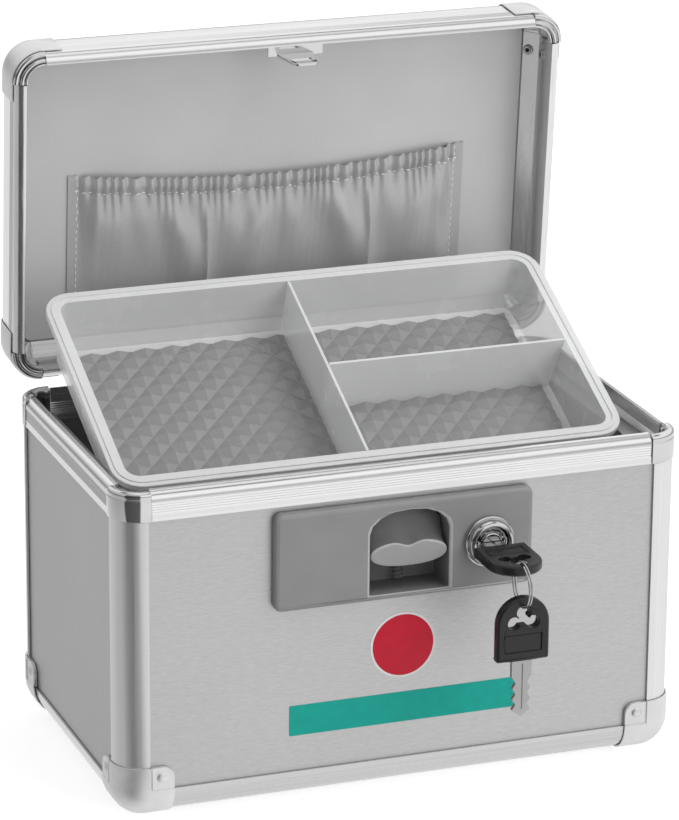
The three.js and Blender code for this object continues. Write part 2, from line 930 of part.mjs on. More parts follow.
// One unbroken round wire along a curve
function wire(curve, radius, steps, sidesOfWire) {
  const frames = curve.computeFrenetFrames(steps, false);
  const rings = [];
  for (let i = 0; i <= steps; i++) {
    const centre = curve.getPointAt(i / steps);
    const ring = [];
    for (let j = 0; j < sidesOfWire; j++) {
      const angle = (2 * Math.PI * j) / sidesOfWire;
      const p = centre.clone();
      p.addScaledVector(frames.normals[i], radius * Math.cos(angle));
      p.addScaledVector(frames.binormals[i], radius * Math.sin(angle));
      ring.push([p.x, p.y, p.z]);
    }
    rings.push(ring);
  }
  const cap = rings[0].map((_, j) => {
    const angle = (2 * Math.PI * j) / sidesOfWire;
    return new THREE.Vector2(Math.cos(angle), Math.sin(angle));
  });
  return skin(rings, cap);
}

// Least distance between two passes of a winding, surface to surface, measured on points of its centre line
function leastGap(curve, radius, turns, samples = 400) {
  const points = curve.getSpacedPoints(samples);
  const skip = Math.floor((samples / turns) * (3 / 4));
  let least = Infinity;
  for (let i = 0; i < points.length; i++) {
    for (let j = i + skip; j < points.length; j++) {
      least = Math.min(least, points[i].distanceTo(points[j]));
    }
  }
  return least - 2 * radius;
}

function latchSpring() {
  const bottom = recessFloor + clearance + springWire;
  const top = slideBottom - clearance - springWire;
  const pitch = (top - bottom) / springTurns;
  const curve = new Helix(springRadius, pitch, springTurns);
  const least = leastGap(curve, springWire, springTurns);
  console.log("latch spring, least gap to itself", least.toFixed(2));
  const at = (carriageBack + springSeatDepth) / 2 - springWire;
  return wire(curve, springWire, springTurns * 8, 5).translate(recessX, at, bottom);
}

// Lock: domed ring on the plate, a cylinder that turns with the key, its cam and the nut behind the panel
function addLock() {
  const group = new THREE.Group();
  group.position.set(lockX, frontFace, lockHeight);
  body.add(group);
  const bore = cylinderRadius + boreGap;
  const face = plateProud + clearance;
  const front = plateProud + lockRingHeight;
  const ringProfile = [
    new THREE.Vector2(bore, face),
    new THREE.Vector2(lockRingRadius, face),
    new THREE.Vector2(lockRingRadius, face + lockRingHeight / 4),
    new THREE.Vector2(lockRingRadius - lockRingHeight / 8, face + lockRingHeight / 2),
    new THREE.Vector2(lockRingRadius - lockRingHeight / 3, front - lockRingHeight / 8),
    new THREE.Vector2(bore + lockRingHeight / 8, front),
    new THREE.Vector2(bore, front - lockRingHeight / 6),
    new THREE.Vector2(bore, face),
  ];
  piece(
    group,
    "lock_ring",
    new THREE.LatheGeometry(ringProfile, 24).rotateX(180 * deg),
    materials.chrome,
  );
  const barrel = cylinder("y", -cylinderFront, cylinderBack, cylinderRadius, 0, 0);
  const camHalf = camWidth / 2;
  const cam = roundedRectangle(-camHalf, camHalf, -camLength, camHalf, camHalf - clearance);
  const camPlate = extrudeAlongY(cam, cylinderBack - clearance, cylinderBack + camThickness);
  const wide = shankWidth / 2 + keywayGap;
  const thin = bladeThickness / 2 + keywayGap;
  const keyway = box(
    -wide,
    wide,
    -cylinderFront - overrun,
    bladeLength - keyReach + clearance,
    -thin,
    thin,
  );
  piece(group, "lock_cylinder", cut(joined(barrel, camPlate), keyway), materials.chrome);
  const nutFrom = panelBack + clearance;
  const nut = cylinder("y", nutFrom, nutFrom + nutThickness, nutRadius, 0, 0, nutSides);
  const nutBore = cylinder("y", 0, panelBack + overrun + nutThickness, bore, 0, 0);
  piece(group, "lock_nut", cut(nut, nutBore), materials.steel);
}

// Key head in its own frame: the shoulder at the origin, the head up along Z, thin along Y
function keyHead() {
  const half = keyHeadWidth / 2;
  const shape = new THREE.Shape();
  shape.moveTo(keyCorner - half, 0);
  shape.lineTo(half - keyCorner, 0);
  shape.quadraticCurveTo(half, 0, half, keyCorner);
  shape.lineTo(half, keyHeadLength - half);
  shape.absarc(0, keyHeadLength - half, half, 0, 180 * deg, false);
  shape.lineTo(-half, keyCorner);
  shape.quadraticCurveTo(-half, 0, keyCorner - half, 0);
  const head = new THREE.ExtrudeGeometry(shape, {
    depth: keyHeadThickness - 2 * keyBevel,
    bevelThickness: keyBevel,
    bevelSize: keyBevel,
    bevelOffset: -keyBevel,
    bevelSegments: 1,
    curveSegments: 8,
  });
  head.translate(0, 0, keyBevel - keyHeadThickness / 2).rotateX(90 * deg);
  const topLobe = keyHeadLength - keyBar - topLobeRadius;
  const lobes = [
    [0, topLobe, topLobeRadius],
    [-lobeSpread, topLobe - lobeDrop, lobeRadius],
    [lobeSpread, topLobe - lobeDrop, lobeRadius],
  ].map(([x, z, r]) => cylinder("y", -keyHeadThickness, keyHeadThickness, r, x, z, 20));
  const bridgeHalf = ringPitch + ringWire + clearance;
  const bridge = box(
    -bridgeHalf,
    bridgeHalf,
    -keyHeadThickness,
    keyHeadThickness,
    topLobe - lobeDrop - bridgeDrop,
    topLobe,
  );
  const face = keyHeadThickness / 2;
  const labels = [-1, 1].map((way) =>
    box(
      -labelWidth / 2,
      labelWidth / 2,
      way < 0 ? -face - overrun : face - labelDepth,
      way < 0 ? labelDepth - face : face + overrun,
      labelRise,
      labelRise + labelHeight,
    ),
  );
  const socketHalf = shankWidth / 2 + clearance;
  const socketThin = bladeThickness / 2 + clearance;
  const socket = box(
    -socketHalf,
    socketHalf,
    -socketThin,
    socketThin,
    -overrun,
    bladeTang + clearance,
  );
  return cut(head, ...lobes, bridge, ...labels, socket);
}

// Key blade: a plain shank, a wavy cut down both edges and a groove along its middle
function keyBlade() {
  const half = bladeWidth / 2;
  const shank = shankWidth / 2;
  const steps = bladeWaves * 6;
  const wavy = bladeLength - shankLength - half;
  const edge = [];
  for (let i = 0; i <= steps; i++) {
    const wave = bladeWave * Math.cos((2 * Math.PI * bladeWaves * i) / steps);
    edge.push([half + wave, -shankLength - clearance - (wavy * i) / steps]);
  }
  const rightEdge = [[shank, bladeTang], [shank, -shankLength], ...edge];
  const leftEdge = rightEdge.map(([x, z]) => [-x, z]).reverse();
  const points = [...rightEdge, [0, -bladeLength], ...leftEdge].reverse();
  const blade = extrudeAlongY(polygon(points), -bladeThickness / 2, bladeThickness / 2);
  const groove = bladeThickness / 4;
  const grooves = [-1, 1].map((face) =>
    box(
      -groove,
      groove,
      face > 0 ? bladeThickness / 2 - groove : -bladeThickness,
      face > 0 ? bladeThickness : groove - bladeThickness / 2,
      half - bladeLength,
      -half / 2,
    ),
  );
  return cut(blade, ...grooves);
}

function addKeys() {
  const head = keyHead();
  const blade = keyBlade();
  const inLock = new THREE.Group();
  inLock.position.set(lockX, frontFace - keyReach, lockHeight);
  inLock.rotation.x = quarter;
  body.add(inLock);
  piece(inLock, "lock_key_head", head, materials.black);
  piece(inLock, "lock_key_blade", blade, materials.steel);
  const inner = ringRadius - ringWire;
  const barAt = frontFace - keyReach - keyHeadLength + keyBar / 2;
  const barTop = lockHeight + keyHeadThickness / 2 + clearance;
  const ringAt = barTop - Math.sqrt(inner ** 2 - (keyBar / 2) ** 2);
  const helix = new Helix(ringRadius, ringPitch, ringTurns);
  console.log("key ring, least gap to itself", leastGap(helix, ringWire, ringTurns).toFixed(2));
  const ring = wire(helix, ringWire, ringTurns * 24, 6);
  ring.translate(0, 0, (-ringPitch * ringTurns) / 2).rotateY(quarter).rotateX(2 * quarter);
  const ringGroup = new THREE.Group();
  ringGroup.position.set(lockX, barAt, ringAt);
  body.add(ringGroup);
  piece(ringGroup, "key_ring", ring, materials.steel);
  const hang = ringAt - Math.sqrt(inner ** 2 - (keyHeadThickness / 2) ** 2) + clearance;
  const hanging = new THREE.Group();
  hanging.position.set(lockX, barAt, hang - (keyHeadLength - keyBar));
  body.add(hanging);
  piece(hanging, "spare_key_head", head, materials.black);
  piece(hanging, "spare_key_blade", blade, materials.steel);
}

// Hinges: a body leaf with two knuckles and the pin, and a lid leaf with the middle knuckle
function hingeLeaf(up) {
  const third = hingeWidth / 3;
  const half = hingeWidth / 2;
  const mid = third / 2;
  const inY = knuckleRadius - leafThickness;
  const leafY = -(hingeOffset - clearance);
  const spans = up
    ? [[knuckleGap - mid, mid - knuckleGap]]
    : [
        [-half, -mid - knuckleGap],
        [mid + knuckleGap, half],
      ];
  const knuckles = spans.map(([a, b]) => cylinder("x", a, b, knuckleRadius, 0, 0, 16));
  const far = up ? leafLength : -leafLength;
  const near = up ? knuckleRadius + knuckleGap : -knuckleRadius - knuckleGap;
  const y1 = Math.max(leafY + leafThickness, inY - leafThickness);
  const plate = extrudeAlongY(
    roundedRectangle(-half, half, Math.min(near, far), Math.max(near, far), leafCorner / 2),
    leafY,
    y1,
  );
  const neckLow = Math.min(0, 2 * near);
  const neckHigh = Math.max(0, 2 * near);
  const necks = spans.map(([a, b]) => box(a, b, leafY, y1, neckLow, neckHigh));
  if (up) {
    const bore = cylinder("x", -half, half, hingeBore, 0, 0, 16);
    return cut(joined(plate, ...knuckles, ...necks), bore);
  }
  const pin = cylinder("x", -half, half, hingePin, 0, 0, 16);
  return joined(plate, ...knuckles, ...necks, pin);
}

const lidPivot = new THREE.Group();
lidPivot.position.set(0, halfDepth + hingeOffset, jointHeight);
lidPivot.rotation.x = -lidOpenAngle;
body.add(lidPivot);
const lid = new THREE.Group();
lid.position.set(0, -(halfDepth + hingeOffset), 0);
lidPivot.add(lid);

function addHinges() {
  const bodyLeaf = hingeLeaf(false);
  const lidLeaf = hingeLeaf(true);
  for (const [name, x] of [
    ["left", -hingeAt],
    ["right", hingeAt],
  ]) {
    const fixed = piece(body, "hinge_body_leaf_" + name, bodyLeaf, materials.steel);
    fixed.position.set(x, halfDepth + hingeOffset, jointHeight);
    const moving = piece(lidPivot, "hinge_lid_leaf_" + name, lidLeaf, materials.steel);
    moving.position.x = x;
  }
}

function addLid() {
  const section = lidSection();
  const end = edgeRadius + clearance;
  for (const side of sides) {
    const group = sideGroup(lid, side);
    const half = side.length / 2;
    piece(
      group,
      "lid_rail_" + side.name,
      extrudeAlongX(section, end - half, half - end),
      materials.extrusion,
    );
  }
  const skirt = outline(lidCornerSkirt());
  const arms = [
    sweep(skirt, [
      [lidCornerReach, 0, 0, 1],
      [edgeRadius, 0, 0, 1],
    ]),
    sweep(skirt, [
      [0, edgeRadius, 1, 0],
      [0, lidCornerReach, 1, 0],
    ]),
  ];
  const cornerPiece = joined(
    sweep(outline(lidSection(lidCornerProud, lidCornerRings)), cornerStations(0)),
    ...arms,
  );
  for (const corner of corners) {
    piece(cornerGroup(lid, corner), "lid_corner_" + corner.name, cornerPiece, materials.chrome);
  }
  const inset = lidSlotInset + clearance;
  const panel = roundedRectangle(
    inset - halfWidth,
    halfWidth - inset,
    inset - halfDepth,
    halfDepth - inset,
    edgeRadius - inset - clearance,
  );
  piece(lid, "lid_panel", extrudeAlongZ(panel, lidPanelUnder, lidPanelTop), materials.brushed);
  const liningInset = lidLipInset + clearance;
  const lining = roundedRectangle(
    liningInset - halfWidth,
    halfWidth - liningInset,
    liningInset - halfDepth,
    halfDepth - liningInset,
    edgeRadius - liningInset,
  );
  piece(lid, "lid_lining", extrudeAlongZ(lining, liningUnder, liningTop), materials.lining);
}

// Strike on the inner face of the lid's front rail: a joggled plate whose tongue has a window for the catch
function addStrike() {
  const y0 = rimThickness + clearance - halfDepth;
  const y1 = y0 + strikeJoggle + strikeThickness;
  const left = recessX - strikeWidth / 2;
  const right = recessX + strikeWidth / 2;
  const top = strikeRise + strikeHeight;
  const plate = box(left, right, y0, y0 + strikeThickness, strikeRise, top);
  const step = box(left, right, y0, y1, strikeRise, strikeRise + strikeThickness);
  const tip = strikeRise - tongueLength;
  const slant = (tongueTop - tongueEnd) / 2 / tongueLength;
  const shape = new THREE.Shape();
  shape.moveTo(-tongueTop / 2, strikeRise + clearance);
  shape.lineTo(-tongueEnd / 2 - slant * tongueCorner, tip + tongueCorner);
  shape.quadraticCurveTo(-tongueEnd / 2, tip, tongueCorner - tongueEnd / 2, tip);
  shape.lineTo(tongueEnd / 2 - tongueCorner, tip);
  shape.quadraticCurveTo(tongueEnd / 2, tip, tongueEnd / 2 + slant * tongueCorner, tip + tongueCorner);
  shape.lineTo(tongueTop / 2, strikeRise + clearance);
  const tongue = extrudeAlongY(shape, y1 - strikeThickness, y1).translate(recessX, 0, 0);
  const windowFrom = tip + tongueCorner;
  const windowHole = extrudeAlongY(
    polygon([
      [-windowEnd / 2, windowFrom],
      [windowEnd / 2, windowFrom],
      [windowTop / 2, windowFrom + windowLength],
      [-windowTop / 2, windowFrom + windowLength],
    ]),
    y1 - overrun,
    y1 + overrun,
  ).translate(recessX, 0, 0);
  piece(lid, "strike_hook", cut(joined(plate, step, tongue), windowHole), materials.chrome);
}

// Pocket: gathered cloth on the lining, open along its upper edge, with its folds
function addPocket() {
  const columns = pocketFolds * 4;
  const rows = 6;
  const width = pocketRight - pocketLeft;
  const depth = pocketBack - pocketFront;
  const clothBlock = (inset, front, top) => {
    const w = width - 2 * inset;
    const d = depth - inset + front;
    const geometry = new THREE.BoxGeometry(w, d, 1, columns, rows, 1);
    const positions = geometry.attributes.position;
    for (let i = 0; i < positions.count; i++) {
      const u = Math.min(1, Math.max(0, positions.getX(i) / w + 1 / 2));
      const v = Math.min(1, Math.max(0, positions.getY(i) / d + 1 / 2));
      const swell = Math.sin(Math.PI * u) ** (1 / 2) * (1 - v ** 3 / 2);
      const fold = foldDepth * Math.cos(2 * Math.PI * pocketFolds * u) * (1 - v);
      const low = liningUnder - clearance - (pocketDepth - inset) * swell * (3 / 4) - inset;
      const under = low - (pocketDepth - inset) / 4 - fold * swell + inset;
      positions.setZ(i, positions.getZ(i) > 0 ? top : under);
      positions.setY(i, pocketFront - front - halfDepth + v * d);
      positions.setX(i, pocketLeft + inset - halfWidth + u * w);
    }
    return geometry;
  };
  const outer = clothBlock(0, 0, liningUnder - clearance);
  const inner = clothBlock(pocketCloth, overrun, liningUnder + overrun);
  piece(lid, "lid_pocket", cut(outer, inner), materials.cloth);
}

// Carry handle on the outside of the lid: a bail with a fat grip, swinging in two brackets
function addHandle() {
  const pivot = new THREE.Group();
  pivot.position.set(0, 0, lidPanelTop + clearance + pivotHeight);
  lid.add(pivot);
  const half = handleSpan / 2;
  const path = new THREE.CurvePath();
  const at = (x, y) => new THREE.Vector3(x, y, 0);
  path.add(new THREE.LineCurve3(at(-half, 0), at(-half, handleReach - handleBend)));
  path.add(
    new THREE.QuadraticBezierCurve3(
      at(-half, handleReach - handleBend),
      at(-half, handleReach),
      at(handleBend - half, handleReach),
    ),
  );
  path.add(
    new THREE.LineCurve3(at(handleBend - half, handleReach), at(half - handleBend, handleReach)),
  );
  path.add(
    new THREE.QuadraticBezierCurve3(
      at(half - handleBend, handleReach),
      at(half, handleReach),
      at(half, handleReach - handleBend),
    ),
  );
  path.add(new THREE.LineCurve3(at(half, handleReach - handleBend), at(half, 0)));
  const round = [];
  for (let i = 0; i < 8; i++) {
    round.push([handleRod * Math.cos((i * quarter) / 2), handleRod * Math.sin((i * quarter) / 2)]);
  }
  const bail = new THREE.ExtrudeGeometry(polygon(round), { steps: 28, extrudePath: path });
  const grip = cylinder("x", -gripLength / 2, gripLength / 2, gripRadius, handleReach, 0, 16);
  const earAxle = half + bracketWidth / 2;
  const axle = cylinder("x", -earAxle, -half + handleRod / 2, handleRod - clearance, 0, 0, 16);
  const axleRight = cylinder("x", half - handleRod / 2, earAxle, handleRod - clearance, 0, 0, 16);
  const eyes = [-half, half].map((x) =>
    cylinder("x", x - handleRod, x + handleRod, handleRod + clearance, 0, 0, 16),
  );
  piece(pivot, "handle_bail", joined(bail, grip, axle, axleRight, ...eyes), materials.black);
  for (const [name, way] of [
    ["left", -1],
    ["right", 1],
  ]) {
    const inner = half + handleRod + clearance;
    const ear = new THREE.Shape();
    ear.moveTo(-bracketDepth / 2, -pivotHeight);
    ear.lineTo(bracketDepth / 2, -pivotHeight);
    ear.lineTo(bracketEar, 0);
    ear.absarc(0, 0, bracketEar, 0, 180 * deg, false);
    const block = extrudeAlongX(ear, inner, inner + bracketWidth - handleRod);
    const foot = box(
      half - bracketWidth,
      inner + bracketWidth,
      -bracketDepth / 2,
      bracketDepth / 2,
      -pivotHeight,
      bracketPlate - pivotHeight,
    );
    const bore = cylinder("x", 0, earAxle + clearance, handleRod, 0, 0, 16);
    const bracket = cut(joined(block, foot), bore);
    if (way < 0) bracket.rotateZ(180 * deg);
    piece(pivot, "handle_bracket_" + name, bracket, materials.steel);
  }
}

// Tray in its own frame: centre of its rim plane at the origin, floor below
function traySolid() {
  const outerAt = (inset, z) => [
    trayWidth - 2 * inset,
    trayDepth - 2 * inset,
    Math.max(trayCorner - inset, trayWall),
    z,
  ];
  const wallTop = trayFlange - trayWall;
  const floorTop = -(trayHeight - trayWall);
  const walls = loft([outerAt(wallTop + trayDraft, -trayHeight), outerAt(wallTop, -trayWall / 2)]);
  const flange = loft([outerAt(0, -traySkirt), outerAt(0, -clearance), outerAt(clearance, 0)]);
  const under = loft([outerAt(trayWall, -traySkirt - overrun), outerAt(trayWall, -trayWall)]);
  const bead = cut(
    loft([outerAt(beadInset, -clearance), outerAt(beadInset, beadHeight)]),
    loft([outerAt(beadInset + beadWidth, -trayWall), outerAt(beadInset + beadWidth, overrun)]),
  );
  const slope = trayDraft / -floorTop;
  const hollow = loft([
    outerAt(trayFlange + trayDraft, floorTop),
    outerAt(trayFlange - slope * overrun, overrun),
  ]);
  return cut(joined(cut(flange, under), walls, bead), hollow);
}

// A divider's outline: as wide as the hollow between two walls, less the clearance, at each height
function dividerShape(topLeft, topRight, leftDraft, rightDraft) {
  const floorTop = -(trayHeight - trayWall) + clearance;
  return polygon([
    [topLeft + leftDraft + clearance, floorTop],
    [topRight - rightDraft - clearance, floorTop],
    [topRight - clearance, 0],
    [topLeft + clearance, 0],
  ]);
}

function addTray() {
  const pole = trayPole();
  const pivot = new THREE.Group();
  pivot.position.set(0, pole.x - halfDepth, pole.y);
  pivot.rotation.x = trayTilt;
  body.add(pivot);
  const tray = new THREE.Group();
  tray.position.set(trayPlay, trayFront + trayDepth / 2 - pole.x, traySeat - pole.y);
  pivot.add(tray);
  piece(tray, "tray_shell", traySolid(), materials.tray);
  const halfW = trayWidth / 2 - trayFlange;
  const halfD = trayDepth / 2 - trayFlange;
  const longAt = (longDividerShare - 1 / 2) * trayWidth;
  const long = extrudeAlongX(
    dividerShape(-halfD, halfD, trayDraft, trayDraft),
    longAt - dividerThickness / 2,
    longAt + dividerThickness / 2,
  );
  piece(tray, "long_divider", long, materials.tray);
  const crossAt = (crossDividerShare - 1 / 2) * trayDepth;
  const cross = extrudeAlongY(
    dividerShape(longAt + dividerThickness / 2, halfW, 0, trayDraft),
    crossAt - dividerThickness / 2,
    crossAt + dividerThickness / 2,
  );
  piece(tray, "cross_divider", cross, materials.tray);
}

addShell();
addLiners();
addLatch();
addLock();
addKeys();
addHinges();
addLid();
addStrike();
addPocket();
addHandle();
addTray();

export default root;
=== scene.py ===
# %% [markdown]
# A lock box for medicines, made of aluminium sheet and edge extrusions, with its lid open and its tray
# lifted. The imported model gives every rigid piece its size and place. This file gives each of them its
# finish, and models again, in finer detail, the pieces that the eye goes to first.

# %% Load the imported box
import json
import math

import bmesh
import bpy
from mathutils import Matrix, Vector


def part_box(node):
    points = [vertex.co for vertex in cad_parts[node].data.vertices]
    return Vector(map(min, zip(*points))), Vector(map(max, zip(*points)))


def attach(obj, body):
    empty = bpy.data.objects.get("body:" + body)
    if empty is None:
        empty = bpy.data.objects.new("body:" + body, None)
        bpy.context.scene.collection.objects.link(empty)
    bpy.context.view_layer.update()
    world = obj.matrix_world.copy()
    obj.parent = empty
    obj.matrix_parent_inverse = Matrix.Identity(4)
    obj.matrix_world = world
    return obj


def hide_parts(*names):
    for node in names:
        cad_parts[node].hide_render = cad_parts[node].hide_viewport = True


MM = 0.001
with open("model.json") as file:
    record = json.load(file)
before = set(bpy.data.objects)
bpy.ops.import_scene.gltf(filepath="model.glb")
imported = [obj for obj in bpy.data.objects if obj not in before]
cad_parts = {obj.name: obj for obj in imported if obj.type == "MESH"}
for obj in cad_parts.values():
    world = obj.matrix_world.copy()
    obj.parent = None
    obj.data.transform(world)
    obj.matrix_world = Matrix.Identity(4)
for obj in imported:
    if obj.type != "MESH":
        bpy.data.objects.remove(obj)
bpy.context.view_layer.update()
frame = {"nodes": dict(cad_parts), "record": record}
bpy.ops.object.select_all(action="DESELECT")

# %% [markdown]
# The camera comes first, because all that follows is judged through it. The edges of the box in the
# photograph meet so slowly that the lens was long: about 186 mm on a 36 mm frame, 2.2 metres away, up
# on the left and looking down 18 degrees.

# %% Put up the camera
LENS = 186.23
CAMERA_PLACE = (-0.7225, -1.9388, 0.8586)
CAMERA_TURN = 20.36
CAMERA_DOWN = 18.38
CAMERA_ROLL = 0.457

bpy.ops.object.camera_add(location=CAMERA_PLACE)
camera = bpy.context.object
camera.name = "photo_camera"
camera.data.lens = LENS
camera.data.sensor_width = 36
camera.data.clip_start = 0.1
camera.data.clip_end = 50
turned = (
    Matrix.Rotation(math.radians(-CAMERA_TURN), 3, "Z")
    @ Matrix.Rotation(math.radians(90 - CAMERA_DOWN), 3, "X")
    @ Matrix.Rotation(math.radians(CAMERA_ROLL), 3, "Z")
)
camera.rotation_euler = turned.to_euler()
bpy.context.scene.camera = camera
bpy.context.scene.view_settings.view_transform = "Standard"
print("camera at", tuple(round(v, 3) for v in camera.location))

# %% [markdown]
# The box stands on a white table in soft light from all round. Polished metal has no colour of its own:
# it shows the room. So the room has one look for the lamp light, plain white for the camera, and a third
# for reflections: bright overhead but for a thin dark ring, quieter near the horizon, and dark at the
# front left, where a black card would stand in a studio. Ring and card give the chrome its dark bands.
# The two lamps don't show in reflections, where their bright squares would burn out the metal.

# %% Light the studio
ROOM_LIGHT = 0.6
# Grey of the room from straight down, 0, to straight up, 1, and from the far left, 0, to the far right.
ROOM_BY_HEIGHT = ((0.0, 0.8), (0.3, 0.9), (0.46, 0.9), (0.5, 0.4), (0.56, 0.3), (0.6, 0.7), (0.7, 1.0),
                  (0.9, 1.0), (0.925, 0.25), (0.95, 0.25), (0.97, 1.0), (1.0, 1.0))
ROOM_BY_SIDE = ((0.0, 0.48), (0.25, 0.72), (0.45, 1.0), (1.0, 1.0))
# The black card: where it stands, how wide and how tall it is, and how much it darkens.
CARD_TURN = math.radians(40)
CARD_BY_SIDE = ((0.0, 0.0), (0.86, 0.0), (0.9, 1.0), (1.0, 1.0))
CARD_BY_HEIGHT = ((0.0, 0.0), (0.1, 0.0), (0.15, 1.0), (0.8, 1.0), (0.88, 0.0), (1.0, 0.0))
CARD_DARKNESS = 0.84

world = bpy.data.worlds.new("studio_air")
bpy.context.scene.world = world
world.use_nodes = True
air = world.node_tree
air.nodes.clear()
paths = air.nodes.new("ShaderNodeLightPath")
view_way = air.nodes.new("ShaderNodeTexCoord")
way_parts = air.nodes.new("ShaderNodeSeparateXYZ")
air.links.new(view_way.outputs["Generated"], way_parts.inputs[0])


def sum_node(operation, first, second, tree=air):
    """One sum on two inputs, each a number or another node's output."""
    step = tree.nodes.new("ShaderNodeMath")
    step.operation = operation
    for socket, value in zip(step.inputs, (first, second)):
        if isinstance(value, (int, float)):
            socket.default_value = value
        else:
            tree.links.new(value, socket)
    return step.outputs[0]


def air_ramp(factor, stops):
    """A grey that follows the factor through the stops, each a position and a value."""
    ramp = air.nodes.new("ShaderNodeValToRGB")
    ramp.color_ramp.elements[0].position = stops[0][0]
    ramp.color_ramp.elements[0].color = (*[stops[0][1]] * 3, 1)
    ramp.color_ramp.elements[1].position = stops[-1][0]
    ramp.color_ramp.elements[1].color = (*[stops[-1][1]] * 3, 1)
    for position, value in stops[1:-1]:
        ramp.color_ramp.elements.new(position).color = (*[value] * 3, 1)
    air.links.new(factor, ramp.inputs[0])
    return ramp.outputs["Color"]


height = sum_node("ADD", sum_node("MULTIPLY", way_parts.outputs["Z"], 0.5), 0.5)
room_grey = air_ramp(height, ROOM_BY_HEIGHT)
sideways = sum_node("ADD", sum_node("MULTIPLY", way_parts.outputs["X"], 0.5), 0.5)
side_grey = air_ramp(sideways, ROOM_BY_SIDE)
toward_x = sum_node("MULTIPLY", way_parts.outputs["X"], -math.sin(CARD_TURN))
toward_y = sum_node("MULTIPLY", way_parts.outputs["Y"], -math.cos(CARD_TURN))
flat_square = sum_node("ADD", sum_node("MULTIPLY", way_parts.outputs["X"], way_parts.outputs["X"]),
                       sum_node("MULTIPLY", way_parts.outputs["Y"], way_parts.outputs["Y"]))
flat_length = sum_node("ADD", sum_node("SQRT", flat_square, 0), 0.001)
toward_card = sum_node("DIVIDE", sum_node("ADD", toward_x, toward_y), flat_length)
card_side = air_ramp(toward_card, CARD_BY_SIDE)
card_level = air_ramp(height, CARD_BY_HEIGHT)
card_share = sum_node("MULTIPLY", card_side, card_level)
card_grey = sum_node("SUBTRACT", 1.0, sum_node("MULTIPLY", card_share, CARD_DARKNESS))


def product_node(first, second, tree=air):
    """Two colours multiplied."""
    product = tree.nodes.new("ShaderNodeMix")
    product.data_type = "RGBA"
    product.blend_type = "MULTIPLY"
    product.inputs["Factor"].default_value = 1.0
    tree.links.new(first, product.inputs["A"])
    tree.links.new(second, product.inputs["B"])
    return product.outputs["Result"]


gloss_grey = product_node(product_node(room_grey, card_grey), side_grey)


def air_background(colour=None, strength=1.0):
    layer = air.nodes.new("ShaderNodeBackground")
    layer.inputs["Color"].default_value = (1, 1, 1, 1)
    layer.inputs["Strength"].default_value = strength
    if colour is not None:
        air.links.new(colour, layer.inputs["Color"])
    return layer.outputs[0]


def air_switch(factor, when_no, when_yes):
    switch = air.nodes.new("ShaderNodeMixShader")
    air.links.new(factor, switch.inputs[0])
    air.links.new(when_no, switch.inputs[1])
    air.links.new(when_yes, switch.inputs[2])
    return switch.outputs[0]


lit_or_gloss = air_switch(paths.outputs["Is Glossy Ray"], air_background(None, ROOM_LIGHT),
                          air_background(gloss_grey))
seen = sum_node("MAXIMUM", paths.outputs["Is Camera Ray"], paths.outputs["Is Transmission Ray"])
air_out = air.nodes.new("ShaderNodeOutputWorld")
air.links.new(air_switch(seen, lit_or_gloss, air_background()), air_out.inputs[0])


def soft_lamp(name, place, aim, size, power):
    """A square lamp at a place, turned to face the aim."""
    bpy.ops.object.light_add(type="AREA", location=place)
    lamp = bpy.context.object
    lamp.name = name
    lamp.data.size = size
    lamp.data.energy = power
    lamp.visible_glossy = False
    direction = Vector(aim) - Vector(place)
    lamp.rotation_euler = direction.to_track_quat("-Z", "Y").to_euler()
    lamp.select_set(False)


soft_lamp("lamp_over_right", (0.8, -0.6, 1.6), (0, 0, 0.1), 1.1, 17)
soft_lamp("lamp_front", (0.9, -1.7, 0.7), (0, 0, 0.1), 1.0, 9)
print("two lamps and the room")

# %% [markdown]
# The table is a plain white sheet that keeps a faint shadow under the box. To the camera it gives off a
# little light of its own, so that it meets the white room with no line.

# %% Lay the table
TABLE_SIZE = 6.0
TABLE_LEVEL = -0.0032
TABLE_GLOW = 0.62
bpy.ops.mesh.primitive_plane_add(size=TABLE_SIZE, location=(0, 0.5, TABLE_LEVEL))
table = bpy.context.object
table.name = "table_top"
table_paint = bpy.data.materials.new("table_white")
table_paint.use_nodes = True
table_tree = table_paint.node_tree
table_shader = table_tree.nodes["Principled BSDF"]
table_shader.inputs["Base Color"].default_value = (0.8, 0.8, 0.8, 1)
table_shader.inputs["Roughness"].default_value = 0.9
table_shader.inputs["Specular IOR Level"].default_value = 0.1
table_paths = table_tree.nodes.new("ShaderNodeLightPath")
table_glow = table_tree.nodes.new("ShaderNodeEmission")
table_seen = sum_node("MAXIMUM", table_paths.outputs["Is Camera Ray"],
                      table_paths.outputs["Is Transmission Ray"], table_tree)
table_tree.links.new(sum_node("MULTIPLY", table_seen, TABLE_GLOW, table_tree),
                     table_glow.inputs["Strength"])
table_sum = table_tree.nodes.new("ShaderNodeAddShader")
table_out = table_tree.nodes["Material Output"]
table_tree.links.new(table_shader.outputs[0], table_sum.inputs[0])
table_tree.links.new(table_glow.outputs[0], table_sum.inputs[1])
table_tree.links.new(table_sum.outputs[0], table_out.inputs["Surface"])
table.data.materials.append(table_paint)
table.visible_glossy = False
table.select_set(False)

# %% [markdown]
# Every finish starts the same way: a shader, the piece's own coordinates, and small helpers for noise,
# ramps and bump. One finish is made once and given to many pieces.


# %% Helpers for finishes
def finish_named(name, colour, roughness, metallic=0.0):
    """A new finish with its shader set up, its node tree, and the piece's own coordinates."""
    paint = bpy.data.materials.new(name)
    paint.use_nodes = True
    tree = paint.node_tree
    shader = tree.nodes["Principled BSDF"]
    shader.inputs["Base Color"].default_value = (*colour, 1)
    shader.inputs["Roughness"].default_value = roughness
    shader.inputs["Metallic"].default_value = metallic
    where = tree.nodes.new("ShaderNodeTexCoord")
    return paint, tree, shader, where.outputs["Object"]


